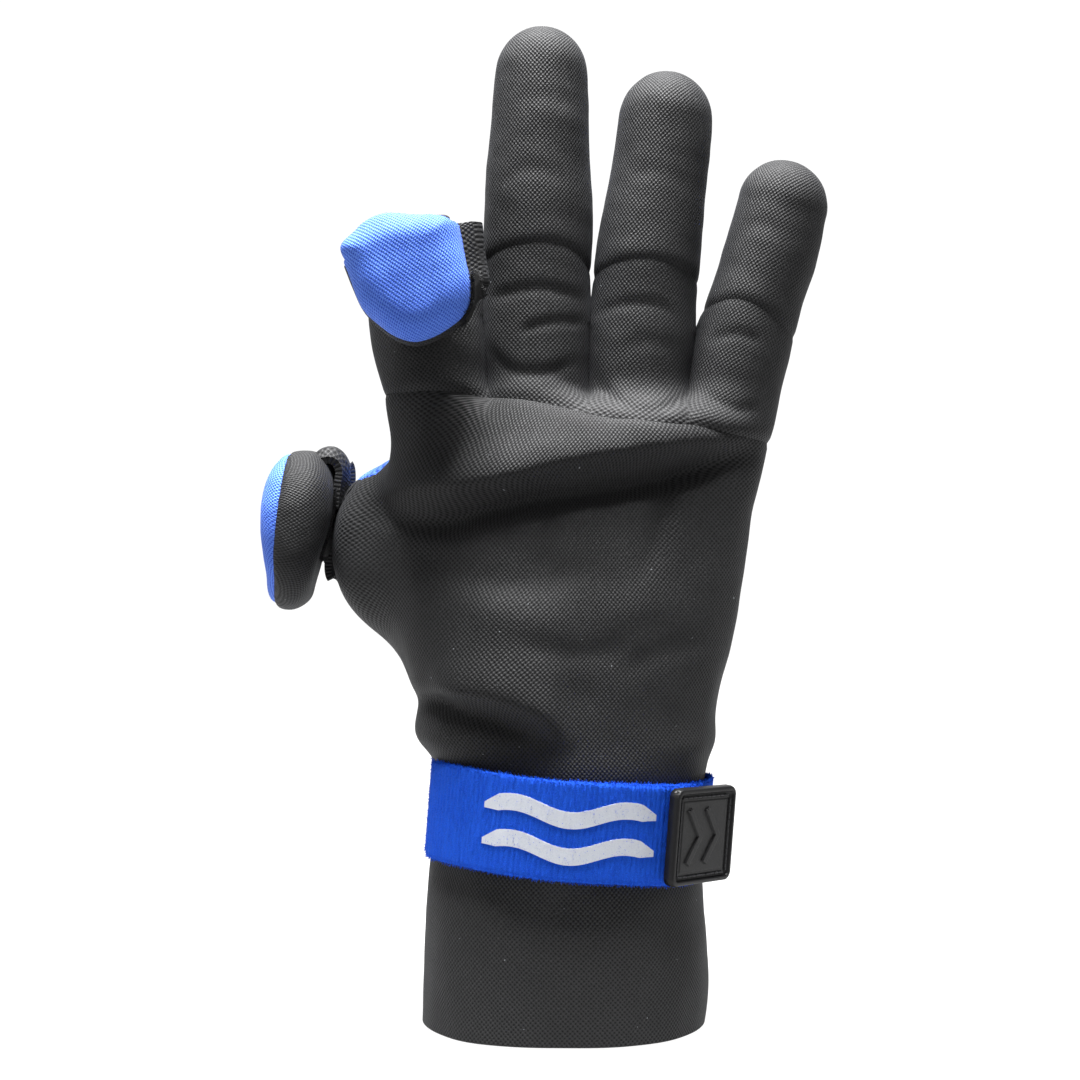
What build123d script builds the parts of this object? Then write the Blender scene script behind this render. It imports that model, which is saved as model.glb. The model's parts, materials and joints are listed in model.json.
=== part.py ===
from build123d import *
import math
import os

# A right-hand knit-faced neoprene glove for boat work, standing on its open cuff, fingers up.
# Frame: origin at the centre of the cuff's rim, +Z along the hand, -Y out of the back of the
# hand, +Y out of the palm, +X towards the little finger. Sizes in millimetres.

# ---------------------------------------------------------------- driving dimensions
WALL = 2.6               # neoprene with knit on both faces
GAP = 0.4                # free space between pieces that move against each other
SEAM_Y = 6.0             # the side seams run this far towards the palm
CUFF_PALM_TOP = 72.0     # where the black cuff ends and the palm panel starts, palm side
KNUCKLE_SEAM_Z = 158.5   # height of the knuckle seam at the middle of the hand
KNUCKLE_SEAM_SLOPE = -0.125
TANG = 0.45              # a finger bends about a line this share of its radius towards the palm
ROOT_FLEX = 70.0         # degrees that a finger bends at its root
MIDDLE_FLEX = 80.0       # degrees that it bends at its middle seam
THUMB_FLEX = 30.0
NOTCH_SPARE = 4.0        # degrees of free space left in a bending notch

# Hand: height, centre in X, half width, half depth
HAND_SECTIONS = (
    (0.0, -0.3, 37.3, 29.5),
    (34.0, 0.2, 36.2, 28.2),
    (39.5, -0.2, 34.8, 27.1),
    (70.0, 1.8, 34.8, 26.6),
    (79.0, 0.3, 38.8, 25.2),
    (95.0, 1.0, 40.6, 23.6),
    (111.5, 2.0, 43.0, 21.8),
    (135.0, 2.2, 46.5, 20.0),
    (150.0, 2.8, 48.6, 18.4),
    (163.0, 4.0, 49.0, 14.5),
)
WEB_THICKNESS = 2.6
ROOT_DEPTH = 24.0        # how far a finger's root reaches down into the hand

# Fingers: root hinge (x, z), lean towards the little finger, middle hinge, length, and the
# radius at distances along the finger
FINGERS = {
    "index": dict(
        root=(-34.6, 172.0), lean=-9.0, middle=None, length=36.0,
        radii=((0, 12.6), (12, 12.6), (36, 12.2)),
    ),
    "middle": dict(
        root=(-7.3, 172.0), lean=0.7, middle=30.5, length=90.2,
        radii=((0, 12.6), (15, 12.9), (30, 13.2), (45, 13.8), (62, 12.4), (78.2, 12.0)),
    ),
    "ring": dict(
        root=(19.2, 170.0), lean=6.0, middle=29.0, length=80.8,
        radii=((0, 12.4), (14, 12.9), (44, 13.1), (68.6, 12.4)),
    ),
    "pinky": dict(
        root=(43.9, 168.0), lean=15.6, middle=22.5, length=61.0,
        radii=((0, 11.2), (15, 11.6), (30, 11.7), (49.6, 11.4)),
    ),
}

# Thumb: the fleshy base runs from inside the hand to the knuckle, then the stub bends forward
THUMB_HEEL = (-16.0, 0.0, 98.0)
THUMB_KNUCKLE = (-44.0, 18.0, 128.5)
THUMB_HEEL_RADIUS = 22.5
THUMB_KNUCKLE_RADIUS = 17.4
THUMB_ALONG = (-0.42, 0.906, 0.05)
THUMB_PALM = (0.897, 0.422, -0.109)
THUMB_HINGE = 4.0        # from the knuckle to the thumb's bend
THUMB_SLIT = 21.0        # from the knuckle to the slit
THUMB_END = (17.2, 11.0)  # half width and half depth at the slit
THUMB_SEAM_Y = 4.0       # side seams of the stub, towards the palm
THUMB_REACH = (42.0, 40.0, 34.0)  # box round the stub's path in which the hand makes way for it
THUMB_REACH_START = -4.0

# Fold-back caps of the index finger and thumb: half width, half depth, length
INDEX_CAP = (15.6, 9.2, 33.0)
THUMB_CAP = (19.0, 9.4, 33.0)
CAP_SHOULDER = 15.0      # where the cap's side starts to round over
CAP_WALL = 2.4
FOLD_ABOVE = 1.0         # the fold line stands this far off the stub's back
FOLD_ROLL = 0.6          # radius of the rolled fold
INDEX_FOLD = 178.0       # degrees from closed to folded back
THUMB_FOLD = 158.0
PATCH = 0.9              # thickness of the hook and loop patches

# Strap: a band sewn round the wrist, whose free end laps over the back of the hand
STRAP_CENTRE = (0.8, 0.0, 54.5)
STRAP_TILT = 4.4         # degrees down towards the little finger
STRAP_WIDTH = 25.0
STRAP_THICKNESS = 1.5
BAND_RADII = (35.6, 27.6)    # inner half axes of the sewn band
BAND_ARC = (268.0, 556.0)    # degrees round the wrist, 270 is the middle of the back
FREE_OFFSET = (0.5, 0.0)     # the free end's own centre
FREE_RADII = (37.6, 29.6)
FREE_ARC = (199.0, 326.0)
STRAP_OPEN = 110.0
PRINT_WIDTH = (-22.0, 21.0)  # left and right end of the printed stripes
PRINT_SPACING = 4.5      # the stripes' distance from the strap's middle
PRINT_HEIGHT = 4.2
PRINT_RISE = 1.6         # how far the stripes wave up and down
PRINT_THICKNESS = 0.2
TACK_SIZE = (18.0, 19.0)  # stitched rectangle that tacks the strap down on the palm side
THREAD = 0.7             # width of a stitched line
THREAD_RISE = 0.3

# Pull tab at the free end
TAB_SIZE = 24.5
TAB_THICKNESS = 2.4
TAB_ANGLE = 36.6         # where the tab lies flat against the strap's ellipse
TAB_LIFT = 60.0
TAB_CORNER = 2.5
TAB_STITCH_INSET = 1.75
TAB_HOOK = (10.0, 1.2, 20.0)  # hook pad under the tab
CHEVRON = (9.0, 1.8)     # length and width of one bar of the raised chevrons
CHEVRON_RISE = 0.5

FAR = 200.0


# ---------------------------------------------------------------- helpers
def outline_inset(outline, by):
    """The same outline of (radius, distance) points, moved inwards."""
    return [(radius - by, distance) for radius, distance in outline]


def spun(outline, tip=0.0):
    """Solid turned about Z from (radius, height) points, flat or with a rounded tip."""
    first_radius, bottom = outline[0]
    last_radius, shoulder = outline[-1]
    edges = [Polyline((0, bottom), *outline)]
    if tip:
        edges.append(EllipticalCenterArc((0, shoulder), last_radius, tip, start_angle=0, arc_size=90))
        edges.append(Line((0, shoulder + tip), (0, bottom)))
    else:
        edges.append(Polyline((last_radius, shoulder), (0, shoulder), (0, bottom)))
    return revolve(Plane.XZ * make_face(edges), Axis.Z)


def half_space_y(y, side):
    """Everything on one side of a plane across Y; side is +1 or -1."""
    return Pos(0, y + side * FAR, 0) * Box(2 * FAR, 2 * FAR, 4 * FAR)


def slab_z(low, high):
    return Pos(0, 0, (low + high) / 2) * Box(2 * FAR, 2 * FAR, high - low)


def bend_side(flex, side):
    """One side of a bending cut: flat behind the bend line, notched towards the palm.

    The bend line is the local X axis. side is +1 for the piece above, -1 for the one below.
    """
    slope = math.tan(math.radians((flex + NOTCH_SPARE) / 2))
    edge = side * GAP / 2
    points = [
        (-FAR, edge),
        (0, edge),
        (FAR, edge + side * slope * FAR),
        (FAR, side * 2 * FAR),
        (-FAR, side * 2 * FAR),
    ]
    return extrude(Plane.YZ * make_face(Polyline(*points, close=True)), FAR, both=True)


def finger_plane(finger):
    lean = math.radians(finger["lean"])
    x, z = finger["root"]
    return Plane(
        origin=(x, 0, z),
        x_dir=(math.cos(lean), 0, -math.sin(lean)),
        z_dir=(math.sin(lean), 0, math.cos(lean)),
    )


def bend_line(finger, along):
    """Where the finger's bend line passes: Y and Z of a line parallel to X."""
    lean = math.radians(finger["lean"])
    _, radius = finger["radii"][0]
    return TANG * radius, finger["root"][1] + along * math.cos(lean)


def halves(shell, y=SEAM_Y):
    """Back and palm half of a shell, split along its side seams."""
    return shell & half_space_y(y, -1), shell & half_space_y(y, 1)


# ---------------------------------------------------------------- fingers
def finger_profile(finger):
    return [(radius, distance) for distance, radius in finger["radii"]]


def finger_solids(finger):
    """Outer and inner solid of a whole finger, in place."""
    outline = finger_profile(finger)
    start = [(outline[0][0], -ROOT_DEPTH)]
    if finger["middle"] is None:
        outer = spun(start + outline)
        end = [(outline[-1][0], outline[-1][1] + 5)]
        inner = spun(outline_inset([(start[0][0], -ROOT_DEPTH - 5)] + outline + end, WALL))
    else:
        tip = finger["length"] - outline[-1][1]
        outer = spun(start + outline, tip)
        inner = spun(outline_inset(start + outline, WALL), tip - WALL)
    place = finger_plane(finger).location
    return place * outer, place * inner


def make_finger(name, finger, parts):
    outer, inner = finger_solids(finger)
    shell = outer - inner
    root_y, root_z = bend_line(finger, 0)
    base = shell & (Pos(0, root_y, root_z) * bend_side(ROOT_FLEX, 1))
    if finger["middle"] is not None:
        mid_y, mid_z = bend_line(finger, finger["middle"])
        cut = Pos(0, mid_y, mid_z)
        tip = base & (cut * bend_side(MIDDLE_FLEX, 1))
        base = base & (cut * bend_side(MIDDLE_FLEX, -1))
        parts[name + "_tip_back"], parts[name + "_tip_palm"] = halves(tip)
    parts[name + "_base_back"], parts[name + "_base_palm"] = halves(base)


# ---------------------------------------------------------------- thumb
def thumb_plane():
    across = Vector(*THUMB_PALM).cross(Vector(*THUMB_ALONG))
    return Plane(origin=THUMB_KNUCKLE, x_dir=across, z_dir=THUMB_ALONG)


def thumb_base(inset):
    """The fleshy base of the thumb, part of the hand: a cone, a round knuckle and a short neck."""
    heel, knuckle = Vector(*THUMB_HEEL), Vector(*THUMB_KNUCKLE)
    reach = knuckle - heel
    knuckle_radius = THUMB_KNUCKLE_RADIUS - inset
    cone = spun([(THUMB_HEEL_RADIUS - inset, 0), (knuckle_radius, reach.length)])
    cone = Plane(origin=THUMB_HEEL, z_dir=reach).location * cone
    ball = Pos(*THUMB_KNUCKLE) * Sphere(knuckle_radius + 0.3)
    neck = thumb_plane().location * (Pos(0, 0, THUMB_HINGE) * Cylinder(knuckle_radius, 2 * THUMB_HINGE))
    return cone + ball + neck


def thumb_stub(inset):
    """The stub from the knuckle to the slit, flattening towards the slit."""
    round_face = Circle(THUMB_KNUCKLE_RADIUS - inset)
    half_width, half_depth = THUMB_END
    flat_face = Pos(0, 0, THUMB_SLIT) * Ellipse(half_width - inset, half_depth - inset)
    stub = loft([round_face, flat_face], ruled=True)
    if inset:
        beyond = flat_face.moved(Location((0, 0, 5)))
        stub += loft([flat_face, beyond])
    return stub


def thumb_bend_place():
    """The thumb's bend line, in the thumb's own frame."""
    return Pos(0, TANG * THUMB_KNUCKLE_RADIUS, THUMB_HINGE)


def make_thumb(parts):
    place = thumb_plane().location
    shell = thumb_stub(0) - thumb_stub(WALL)
    stub = shell & (thumb_bend_place() * bend_side(THUMB_FLEX, 1))
    back, palm = halves(stub, THUMB_SEAM_Y)
    parts["thumb_stub_back"], parts["thumb_stub_palm"] = place * back, place * palm


# ---------------------------------------------------------------- fold-back caps
def cap_solid(size, inset, start=0.0):
    """A flattened cup, mouth down at z = start, rounded over at the tip."""
    half_width, half_depth, length = size
    unit = 10.0
    cup = spun([(unit, start), (unit, CAP_SHOULDER)], length - CAP_SHOULDER - inset)
    return scale(cup, by=((half_width - inset) / unit, (half_depth - inset) / unit, 1))


def make_cap(name, size, stub_end, stub_back, frame, fold, parts):
    """A cap in its folded-back place, its fold roll and its pair of hook and loop patches.

    stub_end is the slit's distance along the stub; stub_back is the stub's half depth there.
    """
    fold_y = -(stub_back + FOLD_ABOVE)
    centre_y = fold_y + FOLD_ROLL + 0.4 + size[1]
    cup = cap_solid(size, 0) - cap_solid(size, CAP_WALL, -5)
    back, pad = halves(cup, 1.0)
    hook = cap_solid([size[0] + PATCH, size[1] + PATCH, size[2]], 0) - cap_solid(size, -0.05, -5)
    hook = hook & (Pos(0, -FAR / 2, 14) * Box(16, FAR, 14))

    seat = Pos(0, centre_y, stub_end + GAP)
    turn = Pos(0, fold_y, stub_end) * Rot(X=fold) * Pos(0, -fold_y, -stub_end)
    place = frame.location * turn * seat
    parts[name + "_cap_back"] = place * back
    parts[name + "_cap_pad"] = place * pad
    parts[name + "_hook_patch"] = place * hook

    roll = Rot(Y=90) * Cylinder(FOLD_ROLL, 1.2 * size[0])
    parts[name + "_fold"] = frame.location * (Pos(0, fold_y, stub_end) * roll)


def make_index_patch(parts):
    """Loop patch on the back of the index stub."""
    finger = FINGERS["index"]
    outline = finger_profile(finger)
    skin = spun(outline_inset(outline, -PATCH)) - spun(outline_inset(outline, -0.02))
    window = Pos(0, -FAR / 2, 22) * Box(15, FAR, 16)
    parts["index_loop_patch"] = finger_plane(finger).location * (skin & window)


def make_thumb_patch(parts):
    """Loop patch on the back of the thumb stub."""
    skin = thumb_stub(-PATCH) - thumb_stub(-0.05)
    window = Pos(0, -FAR / 2, 15) * Box(17, FAR, 9)
    parts["thumb_loop_patch"] = thumb_plane().location * (skin & window)


# ---------------------------------------------------------------- hand
def hand_loft(inset):
    sections = list(HAND_SECTIONS)
    if inset:
        foot = sections[0]
        sections[0] = (-1.0, foot[1], foot[2], foot[3])
        head = sections[-1]
        sections[-1] = (head[0] - WEB_THICKNESS, head[1], head[2], head[3])
    faces = [Pos(x, 0, z) * Ellipse(half_width - inset, half_depth - inset)
             for z, x, half_width, half_depth in sections]
    return loft(faces, ruled=True)


def make_hand(parts):
    outer = hand_loft(0) + thumb_base(0)
    inner = hand_loft(WALL) + thumb_base(WALL)
    for finger in FINGERS.values():
        finger_outer, finger_inner = finger_solids(finger)
        bend_y, bend_z = bend_line(finger, 0)
        below = Pos(0, bend_y, bend_z) * bend_side(ROOT_FLEX, -1)
        outer += finger_outer & below
        inner += finger_inner & slab_z(bend_z - 30, bend_z + 8)
    shell = outer - inner
    reach = Pos(0, 0, THUMB_REACH_START + THUMB_REACH[2] / 2) * Box(*THUMB_REACH)
    kept = thumb_bend_place() * bend_side(THUMB_FLEX, -1)
    shell = shell - thumb_plane().location * (reach - kept)

    back, palm = halves(shell)
    tilt = math.degrees(math.atan(KNUCKLE_SEAM_SLOPE))
    above_knuckles = Pos(0, 0, KNUCKLE_SEAM_Z) * Rot(Y=-tilt) * slab_z(0, 2 * FAR)
    parts["knuckle_panel"] = back & above_knuckles
    parts["back_panel"] = back - above_knuckles
    parts["cuff_palm_panel"] = palm & slab_z(-10, CUFF_PALM_TOP)
    parts["palm_panel"] = palm & slab_z(CUFF_PALM_TOP, 2 * FAR)


# ---------------------------------------------------------------- strap and pull tab
def strap_plane():
    tilt = math.radians(STRAP_TILT)
    return Plane(origin=STRAP_CENTRE, x_dir=(math.cos(tilt), 0, -math.sin(tilt)),
                 z_dir=(math.sin(tilt), 0, math.cos(tilt)))


def band(radii, thickness, width):
    """A closed elliptical band about Z."""
    half_width, half_depth = radii
    outer = extrude(Ellipse(half_width + thickness, half_depth + thickness), width / 2, both=True)
    return outer - extrude(Ellipse(half_width, half_depth), width, both=True)


def sector(start, end):
    """A wedge of space about Z between two angles in degrees."""
    steps = max(2, round((end - start) / 30))
    angles = [math.radians(start + (end - start) * i / steps) for i in range(steps + 1)]
    rim = [(FAR * math.cos(angle), FAR * math.sin(angle)) for angle in angles]
    return extrude(make_face(Polyline((0, 0), *rim, close=True)), FAR, both=True)


def wave(middle):
    """A flat wavy stripe in the XZ plane, pushed through the strap's front."""
    left, right = PRINT_WIDTH
    count = 16
    shares = [i / count for i in range(count + 1)]
    xs = [left + (right - left) * share for share in shares]
    crests = [middle + PRINT_RISE * math.sin(3 * math.pi * share) for share in shares]
    low = [(x, z - PRINT_HEIGHT / 2) for x, z in zip(xs, crests)]
    high = [(x, z + PRINT_HEIGHT / 2) for x, z in zip(xs, crests)]
    outline = [Spline(*low), Line(low[-1], high[-1]), Spline(*reversed(high)), Line(high[0], low[0])]
    return extrude(Plane.XZ * make_face(outline), FAR)


def make_strap(parts):
    place = strap_plane().location
    free = Pos(*FREE_OFFSET, 0)
    parts["strap_band"] = place * (band(BAND_RADII, STRAP_THICKNESS, STRAP_WIDTH) & sector(*BAND_ARC))
    free_band = band(FREE_RADII, STRAP_THICKNESS, STRAP_WIDTH)
    parts["strap_free_end"] = place * (free * free_band & sector(*FREE_ARC))

    outer_radii = [radius + STRAP_THICKNESS for radius in FREE_RADII]
    ink = band(outer_radii, PRINT_THICKNESS, STRAP_WIDTH)
    stripes = wave(PRINT_SPACING) + wave(-PRINT_SPACING)
    parts["strap_print"] = place * (free * ink & stripes)

    band_outer = [radius + STRAP_THICKNESS for radius in BAND_RADII]
    thread = band(band_outer, THREAD_RISE, STRAP_WIDTH)
    width, height = TACK_SIZE
    frame = Box(width, FAR, height) - Box(width - 2 * THREAD, 2 * FAR, height - 2 * THREAD)
    parts["strap_tack_stitching"] = place * (thread & frame & half_space_y(0, 1))


def tab_plane():
    """Frame of the pull tab: X along it towards its loose end, Y out of the hand."""
    angle = math.radians(TAB_ANGLE)
    half_width, half_depth = [radius + STRAP_THICKNESS for radius in FREE_RADII]
    touch = (FREE_OFFSET[0] + half_width * math.cos(angle), -half_depth * math.sin(angle))
    normal = Vector(math.cos(angle) / half_width, -math.sin(angle) / half_depth, 0).normalized()
    along = Vector(-normal.Y, normal.X, 0)
    return Plane(origin=(*touch, 0), x_dir=along, z_dir=(0, 0, 1))


def make_tab(parts):
    place = strap_plane().location * tab_plane().location
    # the tab's own XZ plane faces out of the hand
    inside = Plane(origin=(0, -GAP, 0), x_dir=(1, 0, 0), z_dir=(0, -1, 0))
    outside = Plane(origin=(0, -GAP - TAB_THICKNESS, 0), x_dir=(1, 0, 0), z_dir=(0, -1, 0))
    face = RectangleRounded(TAB_SIZE, TAB_SIZE, TAB_CORNER)
    parts["pull_tab"] = place * extrude(inside * face, TAB_THICKNESS)

    stitch_size = TAB_SIZE - 2 * TAB_STITCH_INSET
    stitch_hole = stitch_size - 2 * THREAD
    stitch = RectangleRounded(stitch_size, stitch_size, 1.5)
    stitch -= RectangleRounded(stitch_hole, stitch_hole, 0.8)
    parts["tab_stitching"] = place * extrude(outside * stitch, THREAD_RISE)

    bars = []
    for x in (-4.0, 3.0):
        for sign in (1, -1):
            bars.append(Pos(x, sign * 3.2) * Rot(0, 0, -sign * 55) * Rectangle(*CHEVRON))
    parts["tab_emblem"] = place * extrude(outside * (Sketch() + bars), CHEVRON_RISE)
    parts["tab_hook_pad"] = place * (Pos(6.0, 0.5, 0) * Box(*TAB_HOOK))


# ---------------------------------------------------------------- build
def build():
    parts = {}
    make_hand(parts)
    for name, finger in FINGERS.items():
        make_finger(name, finger, parts)
    make_thumb(parts)
    make_index_patch(parts)
    make_thumb_patch(parts)
    index = FINGERS["index"]
    index_back = index["radii"][-1][1]
    make_cap("index", INDEX_CAP, index["length"], index_back, finger_plane(index), INDEX_FOLD, parts)
    make_cap("thumb", THUMB_CAP, THUMB_SLIT, THUMB_END[1], thumb_plane(), THUMB_FOLD, parts)
    make_strap(parts)
    make_tab(parts)
    return parts


if __name__ == "__main__":
    os.makedirs("parts", exist_ok=True)
    for node, solid in build().items():
        export_step(solid, "parts/" + node + ".step")
        print(node, round(solid.volume, 1))
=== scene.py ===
import json
import math

import bpy
import numpy as np
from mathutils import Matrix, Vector

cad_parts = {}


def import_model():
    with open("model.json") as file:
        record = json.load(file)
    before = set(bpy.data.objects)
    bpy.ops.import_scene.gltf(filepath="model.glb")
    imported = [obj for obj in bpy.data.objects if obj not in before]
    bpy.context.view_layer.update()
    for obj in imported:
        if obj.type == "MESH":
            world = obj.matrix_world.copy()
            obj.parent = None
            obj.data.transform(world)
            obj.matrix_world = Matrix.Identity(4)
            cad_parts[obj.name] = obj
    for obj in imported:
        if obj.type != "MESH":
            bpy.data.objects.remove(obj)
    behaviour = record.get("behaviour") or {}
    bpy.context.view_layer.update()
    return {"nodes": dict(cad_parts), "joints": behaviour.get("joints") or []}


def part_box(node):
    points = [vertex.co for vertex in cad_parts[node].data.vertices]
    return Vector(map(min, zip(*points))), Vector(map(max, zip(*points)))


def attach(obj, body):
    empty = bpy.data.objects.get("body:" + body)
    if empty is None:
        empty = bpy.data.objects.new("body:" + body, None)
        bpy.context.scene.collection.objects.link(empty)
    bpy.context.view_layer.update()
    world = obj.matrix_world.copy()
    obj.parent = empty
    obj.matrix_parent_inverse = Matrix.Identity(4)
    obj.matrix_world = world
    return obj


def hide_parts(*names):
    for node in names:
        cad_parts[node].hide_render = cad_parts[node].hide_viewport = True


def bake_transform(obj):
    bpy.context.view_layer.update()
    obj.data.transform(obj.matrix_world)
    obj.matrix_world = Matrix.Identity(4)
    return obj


# A right-hand neoprene glove. Shapes are worked out in millimetres in the row frame and turned
# into metres when a mesh is made. +Z runs along the hand, -Y out of its back, +Y out of the palm.
MM = 0.001

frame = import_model()
joints = {joint["name"]: joint for joint in frame["joints"]}
rng = np.random.default_rng(7)


# ------------------------------------------------------------------ small maths
def step(x, low, high):
    """0 below low, 1 above high, smooth between."""
    t = np.clip((x - low) / (high - low), 0, 1)
    return t * t * (3 - 2 * t)


def curve(x, xs, ys):
    """Smooth curve through the points (xs, ys), constant past its ends."""
    xs, ys = np.asarray(xs, float), np.asarray(ys, float)
    slopes = np.gradient(ys, xs)
    i = np.clip(np.searchsorted(xs, x) - 1, 0, len(xs) - 2)
    gap = xs[i + 1] - xs[i]
    t = np.clip((x - xs[i]) / gap, 0, 1)
    rise = (2 * t**3 - 3 * t**2 + 1) * ys[i] + (3 * t**2 - 2 * t**3) * ys[i + 1]
    return rise + gap * ((t**3 - 2 * t**2 + t) * slopes[i] + (t**3 - t**2) * slopes[i + 1])


def join(a, b, width):
    """Union of two distance fields with a fillet about width across."""
    t = np.clip(0.5 + 0.5 * (b - a) / width, 0, 1)
    return b + (a - b) * t - width * t * (1 - t)


def hump(x, width):
    return np.exp(-((x / width) ** 2))


def unit(v):
    v = np.asarray(v, float)
    return v / np.linalg.norm(v)


def turn(v, axis, angle):
    """v turned about a unit axis through the origin, angle in radians."""
    v, axis = np.asarray(v, float), np.asarray(axis, float)
    along = (v @ axis)[..., None] * axis if v.ndim > 1 else (v @ axis) * axis
    return v * math.cos(angle) + np.cross(axis, v) * math.sin(angle) + along * (1 - math.cos(angle))


# ------------------------------------------------------------------ the hand's form
# height, left edge, right edge, depth of the back, depth of the palm
HAND = np.array([
    (-12, -37.6, 34.6, 28.6, 28.6),
    (8, -37.6, 37.2, 28.6, 28.6),
    (34, -36.5, 36.3, 27.9, 27.9),
    (42, -35.4, 35.8, 27.2, 27.3),
    (54, -34.7, 35.6, 26.8, 27.0),
    (66, -34.6, 37.0, 26.3, 27.0),
    (77, -37.9, 39.3, 25.4, 27.0),
    (87, -38.2, 40.8, 24.8, 27.2),
    (98, -39.6, 43.4, 24.2, 26.8),
    (112, -41.5, 45.8, 22.8, 25.0),
    (130, -43.5, 48.5, 21.0, 22.5),
    (142, -46.0, 50.4, 19.8, 20.8),
    (153, -44.4, 51.4, 18.2, 18.6),
    (163, -44.4, 53.2, 16.6, 16.6),
    (172, -45.0, 54.5, 14.5, 14.5),
])
HAND_TOP = 163.0
SQUARENESS = 2.25

FINGER_NAMES = ("index", "middle", "ring", "pinky")
# distance along the finger from its root bend, radius, depth as a share of the width
PROFILES = {
    "index": ((-24, 12.4, 0.95), (-6, 14.6, 0.93), (6, 15.6, 0.86), (20, 15.2, 0.81), (37, 14.2, 0.75)),
    "middle": ((-24, 12.4, 0.95), (-6, 14.5, 0.93), (8, 15.1, 0.90), (20, 14.4, 0.92), (31, 14.3, 0.94),
               (44, 14.4, 0.94), (56, 13.5, 0.94), (68, 12.8, 0.94), (79, 12.2, 0.92)),
    "ring": ((-24, 12.4, 0.95), (-6, 14.3, 0.93), (8, 14.8, 0.90), (20, 14.0, 0.92), (30, 13.9, 0.94),
             (42, 13.5, 0.94), (58, 12.6, 0.94), (69, 12.4, 0.92)),
    "pinky": ((-24, 11.4, 0.95), (-6, 12.8, 0.94), (6, 13.2, 0.93), (16, 12.6, 0.94), (26, 12.2, 0.95),
              (36, 12.3, 0.94), (48, 11.8, 0.92)),
}
# sideways drift of the finger's middle line: distance along, towards the little finger
DRIFT = {
    "index": ((-20, 0.5), (6, 0.1), (40, 0.7)),
    "middle": ((-20, 0.0), (8, -0.5), (32, -0.6), (60, -0.5), (90, 0.0)),
    "ring": ((-20, 0.6), (10, -0.5), (32, -0.8), (60, 0.0), (80, 0.0)),
    "pinky": ((-20, 0.0), (20, 0.0), (34, 0.6), (60, -0.2)),
}


def joint_point(name):
    return np.array(joints[name]["pos_m"]) / MM


def finger_frames():
    """Each finger's root, its direction, its side direction and its length, from the joints."""
    frames = {}
    for name in FINGER_NAMES:
        root = joint_point(name + "_root_bend")
        next_joint = "index_cap_fold" if name == "index" else name + "_middle_bend"
        along = joint_point(next_joint) - root
        root[1] = along[1] = 0
        reach = np.linalg.norm(along)
        along = unit(along)
        if name == "index":
            length = reach
        else:
            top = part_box(name + "_tip_back")[1].z / MM
            length = (top - root[2] - 12 * (1 - along[2])) / along[2]
        side = unit(np.cross((0, 1, 0), along))
        frames[name] = dict(root=root, along=along, side=side, reach=reach, length=length)
    return frames


FINGERS = finger_frames()


def finger_local(p, name):
    """Side, depth and distance along a finger."""
    f = FINGERS[name]
    r = p - f["root"]
    return r @ f["side"], r[:, 1], r @ f["along"]


def finger_shape(p, name):
    u, v, s = finger_local(p, name)
    stations, radii, depths = np.array(PROFILES[name]).T
    radius, depth = curve(s, stations, radii), curve(s, stations, depths)
    drift = curve(s, *np.array(DRIFT[name]).T)
    end = FINGERS[name]["length"] - radii[-1] if name != "index" else FINGERS[name]["length"] + 12
    past = np.maximum(s - end, 0) + np.maximum(-20 - s, 0)
    return np.sqrt((u - drift) ** 2 + (v / depth) ** 2 + past**2) - radius


def hand_body(p):
    x, y, z = p.T
    left, right, back, palm = (curve(z, HAND[:, 0], HAND[:, i]) for i in (1, 2, 3, 4))
    half, middle = (right - left) / 2, (right + left) / 2
    depth = np.where(y < 0, back, palm)
    u, v = np.abs(x - middle) / half, np.abs(y) / depth
    n = SQUARENESS
    q = np.maximum((u**n + v**n) ** (1 / n), 1e-6)
    slope = np.hypot((u / q) ** (n - 1) / half, (v / q) ** (n - 1) / depth)
    side = (q - 1) / np.maximum(slope, 1 / 60)
    return -join(-side, HAND_TOP - z, 9)


# ------------------------------------------------------------------ the thumb's form
THUMB_HEEL = np.array((-16.0, 0.0, 98.0))
THUMB_KNUCKLE = np.array((-44.0, 18.0, 128.5))
THUMB_ALONG = unit((-0.42, 0.906, 0.05))
THUMB_SIDE = -np.array(joints["thumb_cap_fold"]["axis"])
THUMB_PALM = unit(np.cross(THUMB_ALONG, THUMB_SIDE))
THUMB_SLIT = float((joint_point("thumb_cap_fold") - THUMB_KNUCKLE) @ THUMB_ALONG)


def thumb_local(p):
    r = p - THUMB_KNUCKLE
    return r @ THUMB_SIDE, r @ THUMB_PALM, r @ THUMB_ALONG


def thumb_shape(p):
    reach = THUMB_KNUCKLE - THUMB_HEEL
    t = np.clip((p - THUMB_HEEL) @ reach / (reach @ reach), 0, 1)
    cone = np.linalg.norm(p - THUMB_HEEL - t[:, None] * reach, axis=1) - (22.8 - 3.8 * t)
    u, v, s = thumb_local(p)
    wide = curve(s, (-4, 6, 21, 26), (18.8, 18.8, 17.8, 17.6))
    deep = curve(s, (-4, 6, 21, 26), (17.4, 15.0, 11.0, 10.6))
    q = np.maximum(np.hypot(u / wide, v / deep), 1e-6)
    slope = np.hypot(u / wide**2, v / deep**2) / q
    under = np.maximum(-s - 2, 0)
    side = (q - 1) / np.maximum(slope, 1 / 20) + 6
    stub = np.hypot(np.maximum(side, 0), under) + np.minimum(side, 0) - 6
    heel = np.linalg.norm(p - (-44.0, 14.0, 119.0), axis=1) - 17.3
    return join(join(cone, heel, 8), stub, 6)


THUMB_FILLET = 12
FINGER_FILLET = 7


def palm_shape(p):
    return join(hand_body(p), thumb_shape(p), THUMB_FILLET)


def glove_shape(p):
    """The whole glove without its caps."""
    fingers = np.min([finger_shape(p, name) for name in FINGER_NAMES], axis=0)
    return join(palm_shape(p), fingers, FINGER_FILLET)


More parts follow.
